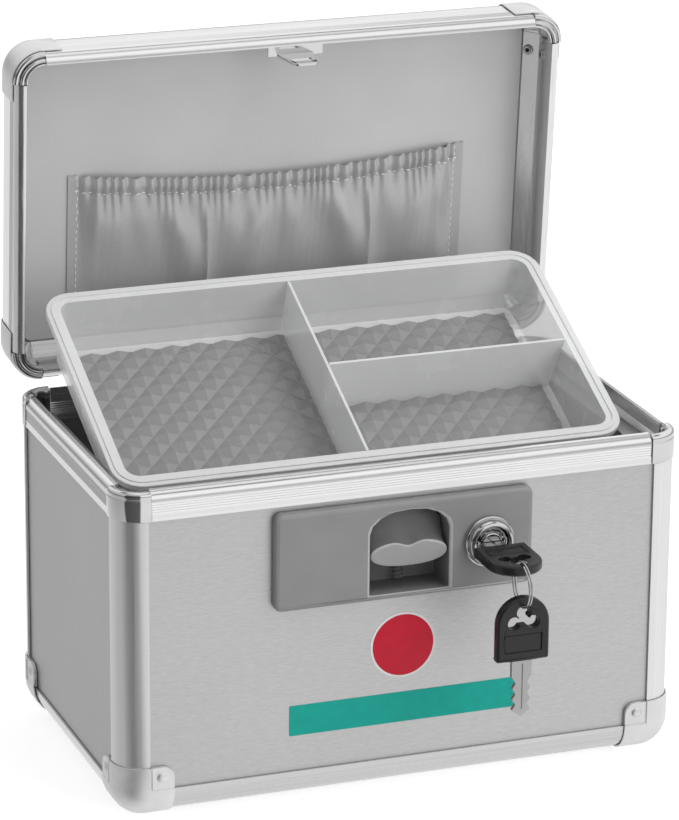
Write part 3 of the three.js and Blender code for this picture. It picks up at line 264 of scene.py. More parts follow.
def stretched_noise(tree, where, stretch, detail=3.0):
    """Noise drawn out along one direction, as brushing leaves it."""
    mapping = tree.nodes.new("ShaderNodeMapping")
    mapping.inputs["Scale"].default_value = stretch
    tree.links.new(where, mapping.inputs["Vector"])
    noise = tree.nodes.new("ShaderNodeTexNoise")
    noise.inputs["Scale"].default_value = 1.0
    noise.inputs["Detail"].default_value = detail
    tree.links.new(mapping.outputs[0], noise.inputs["Vector"])
    return noise.outputs["Fac"]


def ramp_between(tree, factor, low, high, low_at=0.3, high_at=0.7):
    """A colour or grey that goes from low to high with the factor."""
    ramp = tree.nodes.new("ShaderNodeValToRGB")
    ramp.color_ramp.elements[0].position = low_at
    ramp.color_ramp.elements[0].color = (*low, 1)
    ramp.color_ramp.elements[1].position = high_at
    ramp.color_ramp.elements[1].color = (*high, 1)
    tree.links.new(factor, ramp.inputs[0])
    return ramp.outputs["Color"]


def varied(tree, socket, factor, low, high, low_at=0.3, high_at=0.7):
    """Feeds a socket of the shader with such a ramp."""
    tree.links.new(ramp_between(tree, factor, low, high, low_at, high_at), socket)


def bumped(tree, shader, height, strength, distance):
    """Gives the shader a bump from a height."""
    bump = tree.nodes.new("ShaderNodeBump")
    bump.inputs["Strength"].default_value = strength
    bump.inputs["Distance"].default_value = distance
    tree.links.new(height, bump.inputs["Height"])
    tree.links.new(bump.outputs["Normal"], shader.inputs["Normal"])


def grey(value):
    return (value, value, value)


# %% [markdown]
# Brushed aluminium sheet: scratches run one way, so the noise is drawn out along that way. The front
# and back sheets are brushed from side to side, the end sheets from front to back.


# %% Brushed sheet
def brushed_sheet(name, stretch, shade):
    paint, tree, shader, where = finish_named(name, grey(shade), 0.4, 0.85)
    scratches = stretched_noise(tree, where, stretch, 4.0)
    patches = stretched_noise(tree, where, (9, 9, 9), 2.0)
    lines = ramp_between(tree, scratches, grey(shade * 0.9), grey(shade * 1.08))
    soft = ramp_between(tree, patches, grey(0.95), grey(1.0))
    tree.links.new(product_node(lines, soft, tree), shader.inputs["Base Color"])
    varied(tree, shader.inputs["Roughness"], scratches, grey(0.36), grey(0.52), 0.25, 0.75)
    bumped(tree, shader, scratches, 0.08, 0.0001)
    return paint


sheet_across = brushed_sheet("brushed_sheet_across", (240, 900, 1500), 0.65)
# The end sheets are given a darker grey than the front and back: painted shade.
sheet_along_shaded = brushed_sheet("brushed_sheet_along", (900, 240, 1500), 0.57)
sheet_flat = brushed_sheet("brushed_sheet_flat", (240, 1500, 900), 0.55)

# %% [markdown]
# The edge extrusions are anodised: satin, with die lines along their length. The corner pieces are
# pressed steel with bright chrome. The bottom caps are cast and tumbled, so they are duller.


# %% Extrusions, chrome and castings
def satin_extrusion(name, stretch, low=0.16, high=0.28, shade=0.9):
    paint, tree, shader, where = finish_named(name, grey(shade), low, 1.0)
    lines = stretched_noise(tree, where, stretch)
    varied(tree, shader.inputs["Base Color"], lines, grey(shade - 0.06), grey(shade + 0.05))
    varied(tree, shader.inputs["Roughness"], lines, grey(low), grey(high))
    bumped(tree, shader, lines, 0.06, 0.0002)
    return paint


extrusion_x = satin_extrusion("extrusion_across", (6, 700, 700))
extrusion_y = satin_extrusion("extrusion_along", (700, 6, 700))
extrusion_z = satin_extrusion("extrusion_upright", (700, 700, 6))
post_satin = satin_extrusion("post_satin", (700, 700, 6), 0.36, 0.48, 0.94)
# The bottom rails get a darker copy of the extrusion finish: painted shade at the foot of the box.
foot_satin_shaded_x = satin_extrusion("foot_satin_across", (6, 700, 700), 0.2, 0.32, 0.72)
foot_satin_shaded_y = satin_extrusion("foot_satin_along", (700, 6, 700), 0.2, 0.32, 0.74)


def bright_chrome(name, shade, low, high):
    paint, tree, shader, where = finish_named(name, grey(shade), low, 1.0)
    smears = stretched_noise(tree, where, (60, 60, 60))
    varied(tree, shader.inputs["Roughness"], smears, grey(low), grey(high), 0.35, 0.75)
    bumped(tree, shader, smears, 0.03, 0.0004)
    return paint


chrome = bright_chrome("chrome_plate", 0.76, 0.05, 0.12)
# The lock's chrome is a darker copy of the chrome plate: painted shade, for the dark bands it reflects.
lock_chrome_shaded = bright_chrome("lock_chrome_shaded", 0.62, 0.04, 0.09)
steel = bright_chrome("bright_steel", 0.62, 0.2, 0.34)
blade_steel = bright_chrome("blade_steel", 0.5, 0.34, 0.46)


def cast_metal(name):
    paint, tree, shader, where = finish_named(name, grey(0.8), 0.3, 0.9)
    grains = stretched_noise(tree, where, (900, 900, 900), 2.0)
    clouds = stretched_noise(tree, where, (70, 70, 70))
    varied(tree, shader.inputs["Base Color"], clouds, grey(0.84), grey(0.96), 0.35, 0.7)
    varied(tree, shader.inputs["Roughness"], clouds, grey(0.42), grey(0.56))
    bumped(tree, shader, grains, 0.08, 0.0002)
    return paint


casting = cast_metal("tumbled_casting")


# %% [markdown]
# Plastics and linings. The latch is grey plastic with a fine spark-eroded grain, the key heads are
# black, and the lid is lined with a pale grey board.


# %% Plastics and linings
def moulded_plastic(name, shade, roughness, grain):
    paint, tree, shader, where = finish_named(name, grey(shade), roughness)
    grains = stretched_noise(tree, where, grey(grain), 2.0)
    clouds = stretched_noise(tree, where, (40, 40, 40), 2.0)
    varied(tree, shader.inputs["Base Color"], clouds, grey(shade * 0.94), grey(shade * 1.05))
    varied(tree, shader.inputs["Roughness"], grains, grey(roughness * 0.85), grey(roughness * 1.2))
    bumped(tree, shader, grains, 0.12, 0.0002)
    return paint


latch_grey = moulded_plastic("latch_grey", 0.23, 0.42, 2400)
# The recess grey is painted shade: a darker grey for the inside of the thumb pocket, where shade falls.
recess_painted_shade = moulded_plastic("recess_painted_shade", 0.17, 0.5, 2400)
# The lip grey is a painted highlight: a lighter grey for rounded lips that catch the light.
lip_painted_highlight = moulded_plastic("lip_painted_highlight", 0.4, 0.4, 2400)
# The hollow grey is painted shade, for the top of the thumb piece under the pocket's arch.
hollow_painted_shade = moulded_plastic("hollow_painted_shade", 0.13, 0.45, 2400)
slide_grey = moulded_plastic("slide_grey", 0.28, 0.4, 2400)
# Black plastic of the key heads, also laid in the screw sockets as painted shade.
key_black_and_socket_shade = moulded_plastic("key_black_and_socket_shade", 0.011, 0.3, 1800)
handle_black = moulded_plastic("handle_black", 0.022, 0.4, 1500)


def lining_board(name, shade):
    paint, tree, shader, where = finish_named(name, grey(shade), 0.5, 0.35)
    grain = stretched_noise(tree, where, (900, 60, 500), 4.0)
    clouds = stretched_noise(tree, where, (14, 14, 14), 2.0)
    varied(tree, shader.inputs["Base Color"], clouds, grey(shade * 0.94), grey(shade * 1.04))
    varied(tree, shader.inputs["Roughness"], grain, grey(0.44), grey(0.58))
    bumped(tree, shader, grain, 0.1, 0.0002)
    return paint


lining = lining_board("lining_board", 0.62)
side_lining = lining_board("side_lining", 0.28)


def frosted_plastic(name, shade, solid, roughness):
    """Thin frosted plastic: solid is how much of what lies behind one skin hides."""
    full = (shade, shade * 1.005, shade * 1.005)
    paint, tree, shader, where = finish_named(name, full, roughness)
    shader.inputs["Alpha"].default_value = solid
    frost = stretched_noise(tree, where, (45, 45, 45), 2.0)
    varied(tree, shader.inputs["Roughness"], frost, grey(roughness * 0.85), grey(roughness * 1.15))
    dim = (shade * 0.97, shade * 0.975, shade * 0.975)
    varied(tree, shader.inputs["Base Color"], frost, dim, full)
    return paint


tray_plastic = frosted_plastic("tray_plastic", 0.84, 0.5, 0.25)
divider_plastic = frosted_plastic("divider_plastic", 0.88, 0.6, 0.25)
tray_rim_plastic = frosted_plastic("tray_rim_plastic", 0.78, 0.76, 0.22)
# A paler copy of the tray plastic for the outside of the front wall: painted light, for light glowing
# through it.
tray_front_painted_glow = frosted_plastic("tray_front_painted_glow", 0.95, 0.88, 0.25)
tray_floor_plastic = frosted_plastic("tray_floor_plastic", 0.3, 0.86, 0.24)


def satin_cloth(name, shade):
    paint, tree, shader, where = finish_named(name, grey(shade), 0.36, 0.25)
    shader.inputs["Sheen Weight"].default_value = 0.2
    weave = stretched_noise(tree, where, (1400, 1400, 700), 2.0)
    varied(tree, shader.inputs["Base Color"], weave, grey(shade * 0.95), grey(shade * 1.04))
    bumped(tree, shader, weave, 0.08, 0.0001)
    return paint


pocket_cloth = satin_cloth("pocket_cloth", 0.44)

# %% [markdown]
# Now the pieces themselves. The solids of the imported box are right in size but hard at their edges, and
# no real edge is. A few helpers do what hands do in Blender: pick faces or edges by where they are, round
# them, turn a profile on a lathe, and carry a piece to its place. Lengths are in millimetres.


# %% Helpers for modelling
def mm(x, y, z):
    return Vector((x, y, z)) * MM


def only(piece):
    """Leaves one piece selected and active, in object mode."""
    if bpy.context.mode != "OBJECT":
        bpy.ops.object.mode_set(mode="OBJECT")
    bpy.ops.object.select_all(action="DESELECT")
    piece.select_set(True)
    bpy.context.view_layer.objects.active = piece


def edit(piece):
    """Opens a piece in edit mode with nothing selected."""
    only(piece)
    bpy.ops.object.mode_set(mode="EDIT")
    bpy.ops.mesh.select_all(action="DESELECT")
    return bmesh.from_edit_mesh(piece.data)


def pick_faces(piece, wanted):
    """Selects the faces whose middle, in millimetres, and normal pass the test."""
    shape = edit(piece)
    bpy.ops.mesh.select_mode(type="FACE")
    for face in shape.faces:
        face.select_set(bool(wanted(face.calc_center_median() / MM, face.normal)))
    bmesh.update_edit_mesh(piece.data)


def pick_edges(piece, wanted):
    """Selects the edges whose middle and direction pass the test."""
    shape = edit(piece)
    bpy.ops.mesh.select_mode(type="EDGE")
    for line in shape.edges:
        first, second = (point.co / MM for point in line.verts)
        line.select_set(bool(wanted((first + second) / 2, (second - first).normalized())))
    bmesh.update_edit_mesh(piece.data)


def close_outward():
    """Turns every face outwards and leaves edit mode."""
    bpy.ops.mesh.select_all(action="SELECT")
    bpy.ops.mesh.normals_make_consistent(inside=False)
    bpy.ops.object.mode_set(mode="OBJECT")


def paint_faces(piece, paint, wanted):
    """Gives the faces that pass the test one more finish."""
    piece.data.materials.append(paint)
    pick_faces(piece, wanted)
    piece.active_material_index = len(piece.data.materials) - 1
    bpy.ops.object.material_slot_assign()
    bpy.ops.object.mode_set(mode="OBJECT")


def round_edges(piece, width, segments, wanted):
    """Rounds the edges that pass the test."""
    pick_edges(piece, wanted)
    bpy.ops.mesh.bevel(offset=width * MM, segments=segments)
    bpy.ops.object.mode_set(mode="OBJECT")


def settle(piece):
    """Puts the piece's place, turn and scale into its mesh."""
    only(piece)
    bpy.ops.object.transform_apply(location=True, rotation=True, scale=True)
    return piece


def finished(piece, name, body, paint, smooth=30):
    """Names a piece, smooths it up to an angle, paints it, and lets it ride on a body."""
    settle(piece)
    piece.name = name
    piece.data.name = name
    bpy.ops.object.shade_smooth_by_angle(angle=math.radians(smooth))
    piece.data.materials.clear()
    piece.data.materials.append(paint)
    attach(piece, body)
    piece.select_set(False)
    return piece


def rounded(piece, width, segments=2, angle=30):
    """Rounds every edge sharper than the angle."""
    only(piece)
    bevel = piece.modifiers.new("rounding", "BEVEL")
    bevel.width = width * MM
    bevel.segments = segments
    bevel.limit_method = "ANGLE"
    bevel.angle_limit = math.radians(angle)
    bevel.use_clamp_overlap = False
    bpy.ops.object.modifier_apply(modifier="rounding")


body_of_node = {}
for body_name, members in frame["record"]["behaviour"]["bodies"].items():
    for member in members:
        body_of_node[member] = body_name


def flats_flat(piece):
    """Lets large faces set the shading, so that flats look flat beside their rounded edges."""
    only(piece)
    levelling = piece.modifiers.new("flats_stay_flat", "WEIGHTED_NORMAL")
    levelling.weight = 60
    levelling.keep_sharp = True
    bpy.ops.object.modifier_apply(modifier="flats_stay_flat")
    piece.select_set(False)


def soft_edged(node, paint, width=0.0, segments=2, smooth=30, lip=None):
    """A copy of a solid, merged, its edges rounded and its curves smooth; lip picks wider edges."""
    piece = bpy.data.objects.new(node + "_smooth", frame["nodes"][node].data.copy())
    bpy.context.collection.objects.link(piece)
    edit(piece)
    bpy.ops.mesh.select_all(action="SELECT")
    bpy.ops.mesh.customdata_custom_splitnormals_clear()
    bpy.ops.mesh.remove_doubles(threshold=0.004 * MM)
    bpy.ops.object.mode_set(mode="OBJECT")
    if lip:
        round_edges(piece, 1.4, 4, lip)
    if width:
        rounded(piece, width, segments)
    finished(piece, node + "_smooth", body_of_node[node], paint, smooth)
    flats_flat(piece)
    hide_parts(node)
    return piece


def turned_piece(outline, steps=64, through=math.tau):
    """Turns an outline of (radius, height) pairs, in millimetres, about the upright axis."""
    bpy.ops.mesh.primitive_plane_add(size=MM)
    piece = bpy.context.object
    shape = edit(piece)
    bpy.ops.mesh.select_mode(type="VERT")
    shape.verts.ensure_lookup_table()
    for point in shape.verts[1:]:
        point.select_set(True)
    bpy.ops.mesh.delete(type="VERT")
    shape = bmesh.from_edit_mesh(piece.data)
    shape.verts.ensure_lookup_table()
    start = shape.verts[0]
    start.co = mm(outline[0][0], 0, outline[0][1])
    start.select_set(True)
    bmesh.update_edit_mesh(piece.data)
    for (r0, z0), (r1, z1) in zip(outline, outline[1:]):
        step = mm(r1 - r0, 0, z1 - z0)
        bpy.ops.mesh.extrude_region_move(TRANSFORM_OT_translate={"value": tuple(step)})
    if outline[0][0] and outline[-1] != outline[0]:
        step = mm(outline[0][0] - outline[-1][0], 0, outline[0][1] - outline[-1][1])
        bpy.ops.mesh.extrude_region_move(TRANSFORM_OT_translate={"value": tuple(step)})
    bpy.ops.mesh.select_all(action="SELECT")
    bpy.ops.mesh.remove_doubles(threshold=0.001 * MM)
    bpy.ops.mesh.select_all(action="SELECT")
    # The spin runs clockwise, so a turn the other way is given as minus.
    bpy.ops.mesh.spin(steps=steps, angle=-through, center=(0, 0, 0), axis=(0, 0, 1))
    bpy.ops.mesh.select_all(action="SELECT")
    bpy.ops.mesh.remove_doubles(threshold=0.002 * MM)
    close_outward()
    return piece


def cut_out(piece, cutter):
    """Cuts one piece's shape out of another, and takes the cutter away."""
    only(piece)
    cut = piece.modifiers.new("cut", "BOOLEAN")
    cut.object = cutter
    cut.operation = "DIFFERENCE"
    bpy.ops.object.modifier_apply(modifier="cut")
    bpy.data.objects.remove(cutter)


def own_copy(piece, name, place):
    """A copy with its own mesh, moved by a matrix."""
    twin = piece.copy()
    twin.data = piece.data.copy()
    twin.name = name
    bpy.context.collection.objects.link(twin)
    twin.matrix_world = place @ twin.matrix_world
    return twin


def joined(pieces):
    """Joins pieces into the first."""
    only(pieces[0])
    for piece in pieces:
        piece.select_set(True)
    bpy.ops.object.join()
    return bpy.context.object


LID_OPEN = math.radians(85.3)
HINGE_LINE = mm(0, 91, 171.5)
LID_TURN = (Matrix.Translation(HINGE_LINE) @ Matrix.Rotation(-LID_OPEN, 4, "X")
            @ Matrix.Translation(-HINGE_LINE))
print("modelling helpers for", len(body_of_node), "solids")

# %% [markdown]
# The frame of the box is cut from drawn aluminium lengths. Their shapes come from the imported solids. Here
# each is merged and smoothed, so that its rounded back shines in one line from end to end.

# %% Rails and posts
# The bottom rails take the darker, painted-shade copy of the extrusion finish.
for side, grain, foot_shaded_finish in (("front", extrusion_x, foot_satin_shaded_x), ("back", extrusion_x, foot_satin_shaded_x),
                                ("left", extrusion_y, foot_satin_shaded_y), ("right", extrusion_y, foot_satin_shaded_y)):
    soft_edged("bottom_rail_" + side, foot_shaded_finish)
    soft_edged("rim_rail_" + side, grain)
for side, grain in {"front": extrusion_x, "back": extrusion_x,
                    "left": extrusion_z, "right": extrusion_z}.items():
    soft_edged("lid_rail_" + side, grain)
for corner in ("front_left", "front_right", "back_left", "back_right"):
    soft_edged("corner_post_" + corner, post_satin)
print("rails and posts smoothed")

# %% [markdown]
# The corner pieces are pressed from thin steel and plated, and rolled beads run round them. All of them
# are one idea: an outline carried round a quarter circle. So the outline is drawn once, point by point,
# spun through 90 degrees, and drawn out a little at both ends. The rim corners carry one bead on top. The
# lid corners have a satin skirt outside and three polished beads along their lower edge.

# %% Helpers for corner pieces
EDGE_RADIUS = 15.5
CASE_HALF_WIDTH, CASE_HALF_DEPTH = 150.0, 89.0
CORNERS = {"back_right": (1, 1, 0), "back_left": (-1, 1, 90), "front_left": (-1, -1, 180),
           "front_right": (1, -1, -90)}


def corner_bend(outline, tail):
    """Carries an outline of (inset, height) pairs round a corner, with straight ends of a length."""
    bend = turned_piece([(EDGE_RADIUS - inset, level) for inset, level in outline], 20, math.radians(90))
    for axis in (1, 0):
        pick_edges(bend, lambda at, way: abs(at[axis]) < 0.005 and abs(way[axis]) < 0.01)
        if tail:
            step = [0, 0, 0]
            step[axis] = -tail * MM
            bpy.ops.mesh.extrude_region_move(TRANSFORM_OT_translate={"value": step})
        bpy.ops.mesh.edge_face_add()
    close_outward()
    return bend


def corner_place(corner):
    side, depth, turn = CORNERS[corner]
    middle = mm(side * (CASE_HALF_WIDTH - EDGE_RADIUS), depth * (CASE_HALF_DEPTH - EDGE_RADIUS), 0)
    return Matrix.Translation(middle) @ Matrix.Rotation(math.radians(turn), 4, "Z")


def arc(middle, radius, start, end, count):
    """Points along an arc, from one angle in degrees to another."""
    points = []
    for i in range(count + 1):
        angle = math.radians(start + (end - start) * i / count)
        points.append((middle[0] + radius * math.cos(angle), middle[1] + radius * math.sin(angle)))
    return points


print("corners of", EDGE_RADIUS, "mm")

# %% Rim corners
rim_outline = [(-0.7, 156.0), (-0.7, 166.9), (-0.35, 167.2)]
rim_outline += arc((1.9, 168.7), 2.6, 205, 60, 9)
rim_outline += [(4.4, 170.2), (5.1, 169.0), (5.3, 167.0), (5.4, 156.0)]
rim_bend = corner_bend(rim_outline, 1.5)
rounded(rim_bend, 0.25, 2, 40)
for corner in CORNERS:
    piece = own_copy(rim_bend, "rim_bend", corner_place(corner))
    finished(piece, "rim_bead_" + corner, "case", chrome, 35)
    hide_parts("rim_corner_" + corner)
bpy.data.objects.remove(rim_bend)
print("four rim corners")

# %% Lid corners
LID_FOOT = 171.5
ring_outline = arc((0.7, 3.4), 1.5, 150, 330, 10) + [(2.0, 4.4), (2.5, 4.4)]
ring_outline += arc((3.6, 2.2), 1.15, 190, 350, 10) + [(4.75, 4.4), (5.15, 4.4)]
ring_outline += arc((5.9, 2.2), 0.75, 190, 350, 8)
ring_outline += [(6.6, 5.0), (6.2, 18.0), (12.5, 26.0), (12.5, 27.2), (9.5, 27.2), (9.5, 31.6),
                 (7.0, 31.2), (3.0, 29.0), (0.9, 26.0), (0.1, 22.0), (0.1, 5.4)]
skirt_outline = [(-1.0, 5.5), (-1.0, 22.0)] + arc((10, 22), 11, 180, 90, 8)[1:] + [(12.5, 33.0)]
skirt_outline += [(12.5, 32.35), (10.0, 32.35)] + arc((10, 22), 10.35, 90, 180, 8)[1:] + [(-0.35, 5.5)]
ring_bend = corner_bend([(d, LID_FOOT + h) for d, h in ring_outline], 0)
skirt_bend = corner_bend([(d, LID_FOOT + h) for d, h in skirt_outline], 10.3)
rounded(skirt_bend, 0.2, 2, 40)
for corner in CORNERS:
    place = LID_TURN @ corner_place(corner)
    ring_piece = own_copy(ring_bend, "ring_bend", place)
    finished(ring_piece, "lid_rings_" + corner, "lid", chrome, 35)
    skirt_piece = own_copy(skirt_bend, "skirt_bend", place)
    finished(skirt_piece, "lid_skirt_" + corner, "lid", casting, 35)
    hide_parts("lid_corner_" + corner)
    soft_edged("foot_cap_" + corner, casting, 0.45)
bpy.data.objects.remove(ring_bend)
bpy.data.objects.remove(skirt_bend)
print("four lid corners and four bottom caps")

# %% [markdown]
# Inside each corner of the lid two screws hold the corner piece to the rails. One round head with a
# sunk middle is turned, and copied to its eight places; its sunk middle is painted black as painted shade.

# %% Drive the screws
# Each screw: how far out and how high over the lid's foot it sits, and the way it faces.
SCREWS = ((140.44, 22.65, (-0.75, 0, -0.66)), (144.5, 13.1, (-1, 0, 0)))
SCREW_DEPTH = 63.5
SOCKET_SHADE = 1.21
head = turned_piece([(0, 0.15), (1.15, 0.15), (1.2, 1.2), (1.8, 1.3), (2.4, 1.05), (2.8, 0.55),
                     (2.9, 0.0), (0, 0.0)], 32)
for corner, (side, depth, _) in CORNERS.items():
    for number, (x, z, facing) in enumerate(SCREWS):
        at = mm(side * x, depth * SCREW_DEPTH, LID_FOOT + z)
        normal = Vector((side * facing[0], facing[1], facing[2]))
        turn_head = normal.to_track_quat("Z", "Y").to_matrix().to_4x4()
        piece = own_copy(head, "screw", LID_TURN @ Matrix.Translation(at) @ turn_head)
        finished(piece, "lid_screw_%s_%d" % (corner, number), "lid", steel, 35)
        middle = LID_TURN @ at
        # Painted shade: the faces of the sunk middle get the black of the key heads.
        paint_faces(piece, key_black_and_socket_shade, lambda at_mm, way: (at_mm * MM - middle).length < SOCKET_SHADE * MM)
bpy.data.objects.remove(head)
print("eight screws")

# %% [markdown]
# The latch is one moulded pad with a pocket for the thumb. Moulded plastic has a radius on every edge,
# or it wouldn't leave the mould, so the pad, the thumb piece and the key heads get the widest rounding.

# %% Latch pad and thumb piece
RECESS_X = 0.75
PAD_FACE = -93.0
LIP_END = -91.6


def in_recess(at, reach, low, high):
    return abs(at.x - RECESS_X) < reach and low < at.z < high


pad = soft_edged("latch_plate", latch_grey, 0.7, 3, lip=lambda at, way: (
    at.y < PAD_FACE + 0.1 and in_recess(at, 21.4, 104.3, 148.7)))
# Painted shade: the inside of the pocket gets the darker recess grey.
paint_faces(pad, recess_painted_shade, lambda at, way: at.y > LIP_END and in_recess(at, 21.6, 103.9, 149))
# Painted highlight: the rounded lip round the pocket gets the lighter lip grey.
paint_faces(pad, lip_painted_highlight, lambda at, way: (
    PAD_FACE + 0.02 < at.y < LIP_END and in_recess(at, 23.0, 103.0, 150)))
soft_edged("lock_key_head", key_black_and_socket_shade, 0.5, 3)
soft_edged("spare_key_head", key_black_and_socket_shade, 0.5, 3)
soft_edged("strike_hook", chrome, 0.2)
soft_edged("lock_key_blade", blade_steel, 0.2)
soft_edged("spare_key_blade", blade_steel, 0.2)
soft_edged("handle_bail", handle_black, 0.4)
soft_edged("handle_bracket_left", chrome, 0.4)
soft_edged("handle_bracket_right", chrome, 0.4)
for side in ("left", "right"):
    soft_edged("hinge_body_leaf_" + side, steel, 0.15)
    soft_edged("hinge_lid_leaf_" + side, steel, 0.15)
print("latch, keys, strike, handle and hinges rounded")

# %% [markdown]
# The thumb piece has a bean-shaped face with a dip for the thumb. A filled circle is pulled into the bean
# by its points and pushed back into the pad's pocket in four steps. Its top climbs in a hollow curve on
# the way, its front edge is rounded, and a seat for the spring is cut into it from below. A stem behind
# it goes up to the catch.

# %% Shape the thumb piece
BEAN_X, BEAN_Z = 0.75, 124.5
BEAN_HALF_WIDTH, BEAN_HALF_HEIGHT = 20.35, 6.4
BEAN_FACE = -91.5
DIP_DEPTH, DIP_WIDTH = 2.6, 5.2
ARCH_FOOT, ARCH_RISE, ARCH_HALF_WIDTH = 135.0, 11.4, 21.0
# How far each step goes back, and how much of the way up to the arch the top climbs in it.
STEPS = ((4.0, 0.12), (3.5, 0.35), (3.0, 1.0), (7.9, 0.0))
SEAT_RADIUS, SEAT_DEPTH, SEAT_Y, SEAT_Z = 3.6, 10, -75.05, 121
STEM_SIZE, STEM_Y, STEM_Z = (10, 2.3, 20), -80.9, 154.5
bpy.ops.mesh.primitive_circle_add(vertices=96, radius=1, fill_type="NGON",
                                  rotation=(math.radians(90), 0, 0))
bean = settle(bpy.context.object)
for point in bean.data.vertices:
    around = math.atan2(point.co.z, point.co.x)
    across = math.copysign(abs(math.cos(around)) ** 0.82, math.cos(around))
    up = math.copysign(abs(math.sin(around)) ** 0.95, math.sin(around))
    x = BEAN_HALF_WIDTH * across
    z = BEAN_HALF_HEIGHT * up
    if z > 0:
        z -= DIP_DEPTH * math.exp(-(x / DIP_WIDTH) ** 2)
    point.co = mm(BEAN_X + x, BEAN_FACE, BEAN_Z + z)
pick_faces(bean, lambda at, way: True)
for step_back, climb in STEPS:
    bpy.ops.mesh.extrude_region_move(TRANSFORM_OT_translate={"value": tuple(mm(0, step_back, 0))})
    shape = bmesh.from_edit_mesh(bean.data)
    for point in shape.verts:
        across, up = point.co.x / MM - BEAN_X, point.co.z / MM
        if point.select and up > BEAN_Z + 0.5:
            arch = ARCH_FOOT + ARCH_RISE * math.sqrt(max(0, 1 - (across / ARCH_HALF_WIDTH) ** 2))
            point.co.z = (up + climb * max(0, arch - up)) * MM
    bmesh.update_edit_mesh(bean.data)
close_outward()
round_edges(bean, 0.9, 4, lambda at, way: at.y < BEAN_FACE + 0.1)
bpy.ops.mesh.primitive_cylinder_add(vertices=32, radius=SEAT_RADIUS * MM, depth=SEAT_DEPTH * MM,
                                    location=mm(BEAN_X, SEAT_Y, SEAT_Z))
cut_out(bean, bpy.context.object)
bpy.ops.mesh.primitive_cube_add(size=1, location=mm(BEAN_X, STEM_Y, STEM_Z))
stem = bpy.context.object
stem.scale = mm(*STEM_SIZE)
settle(stem)
round_edges(stem, 0.6, 3, lambda at, way: abs(way.z) > 0.9)
# Painted shade: the stem takes the pocket's darker grey, so that it sinks into the shade there.
finished(stem, "thumb_stem", "slide", recess_painted_shade)
finished(bean, "thumb_piece", "slide", slide_grey, 35)
# Painted shade: the hollow top behind the face, under the arch, gets the darker hollow grey.
paint_faces(bean, hollow_painted_shade, lambda at, way: at.y > BEAN_FACE + 1.1 and way.z > 0.1)
# Painted highlight: the rounded front edge of the thumb piece's face gets the lighter lip grey.
paint_faces(bean, lip_painted_highlight, lambda at, way: at.y < BEAN_FACE + 0.9 and way.y > -0.9 and way.z > -0.5)
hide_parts("latch_slide")
print("thumb piece", tuple(round(v * 1000, 1) for v in bean.dimensions))

# %% [markdown]
# The lock shows a domed bezel round a dial. Both are turned parts, so each is an outline spun about its
# axis: first upright, then laid on its side to face the front. The keyway is cut through the dial, and
# the dial takes the place of the front of the plain barrel, whose cam stays as it is.

# %% Turn the lock
LOCK_X, LOCK_Z = 42.5, 127.0
KEYWAY_WIDTH, KEYWAY_HEIGHT = 11.3, 2.9
DIAL_BACK = 94.0
TO_FRONT = Matrix.Rotation(math.radians(90), 4, "X")
LOCK_PLACE = Matrix.Translation(mm(LOCK_X, 0, LOCK_Z)) @ TO_FRONT

bezel = turned_piece([
    (9.3, 93.3), (12.4, 93.3), (12.4, 93.9), (13.25, 93.9), (13.25, 94.8), (12.95, 95.1),
    (12.1, 95.2), (12.1, 95.7), (12.2, 97.2), (11.8, 98.5), (11.2, 99.3), (10.5, 99.8),
    (10.0, 100.0), (9.6, 99.8), (9.4, 99.3), (9.3, 98.6), (9.3, 93.3),
], 96)
bezel.matrix_world = LOCK_PLACE
# Painted shade: the bezel and the barrel take the darker copy of the chrome.
finished(bezel, "lock_bezel", "case", lock_chrome_shaded, 40)
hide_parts("lock_ring")
dial = turned_piece([
    (0, 98.4), (5.0, 98.4), (5.5, 98.2), (5.8, 97.8), (5.85, 96.0), (6.4, 95.6),
    (7.6, 96.6), (8.0, 97.0), (8.5, 97.0), (8.9, 96.6), (9.0, 96.0), (9.0, DIAL_BACK), (0, DIAL_BACK),
], 96)
dial.matrix_world = LOCK_PLACE
settle(dial)
bpy.ops.mesh.primitive_cube_add(size=1, location=mm(LOCK_X, -96, LOCK_Z))
keyway = bpy.context.object
keyway.scale = mm(KEYWAY_WIDTH, 8, KEYWAY_HEIGHT)
settle(keyway)
cut_out(dial, keyway)
barrel = soft_edged("lock_cylinder", lock_chrome_shaded)
edit(barrel)
bpy.ops.mesh.select_all(action="SELECT")
bpy.ops.mesh.bisect(plane_co=tuple(mm(0, -DIAL_BACK, 0)), plane_no=(0, -1, 0), clear_outer=True)
bpy.ops.object.mode_set(mode="OBJECT")
barrel = joined([barrel, dial])
finished(barrel, "lock_barrel", "lock", lock_chrome_shaded, 35)
flats_flat(barrel)
print("bezel", tuple(round(v * 1000, 1) for v in bezel.dimensions))

# %% [markdown]
# The key ring is a split ring: spring wire wound twice, so that its two turns lie side by side. A small
# circle swept round twice while it moves sideways gives just that. The Screw modifier does the sweep.

# %% Wind the key ring
RING_RADIUS = 11.5
RING_WIRE = 0.44
RING_RISE = 1.35
RING_TURNS = 1.97
ring_low, ring_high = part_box("key_ring")
ring_middle = (Vector(ring_low) + Vector(ring_high)) / 2
bpy.ops.mesh.primitive_circle_add(vertices=14, radius=RING_WIRE * MM, fill_type="NGON",
                                  location=mm(RING_RADIUS, 0, -RING_RISE),
                                  rotation=(math.radians(90), 0, 0))
wire_end = settle(bpy.context.object)
winding = wire_end.modifiers.new("winding", "SCREW")
winding.axis = "Z"
winding.angle = RING_TURNS * math.tau
winding.screw_offset = 2 * RING_RISE * MM
winding.steps = 168
winding.render_steps = 168
winding.use_smooth_shade = True
only(wire_end)
bpy.ops.object.modifier_apply(modifier="winding")
edit(wire_end)
bpy.ops.mesh.select_all(action="SELECT")
bpy.ops.mesh.remove_doubles(threshold=0.002 * MM)
close_outward()
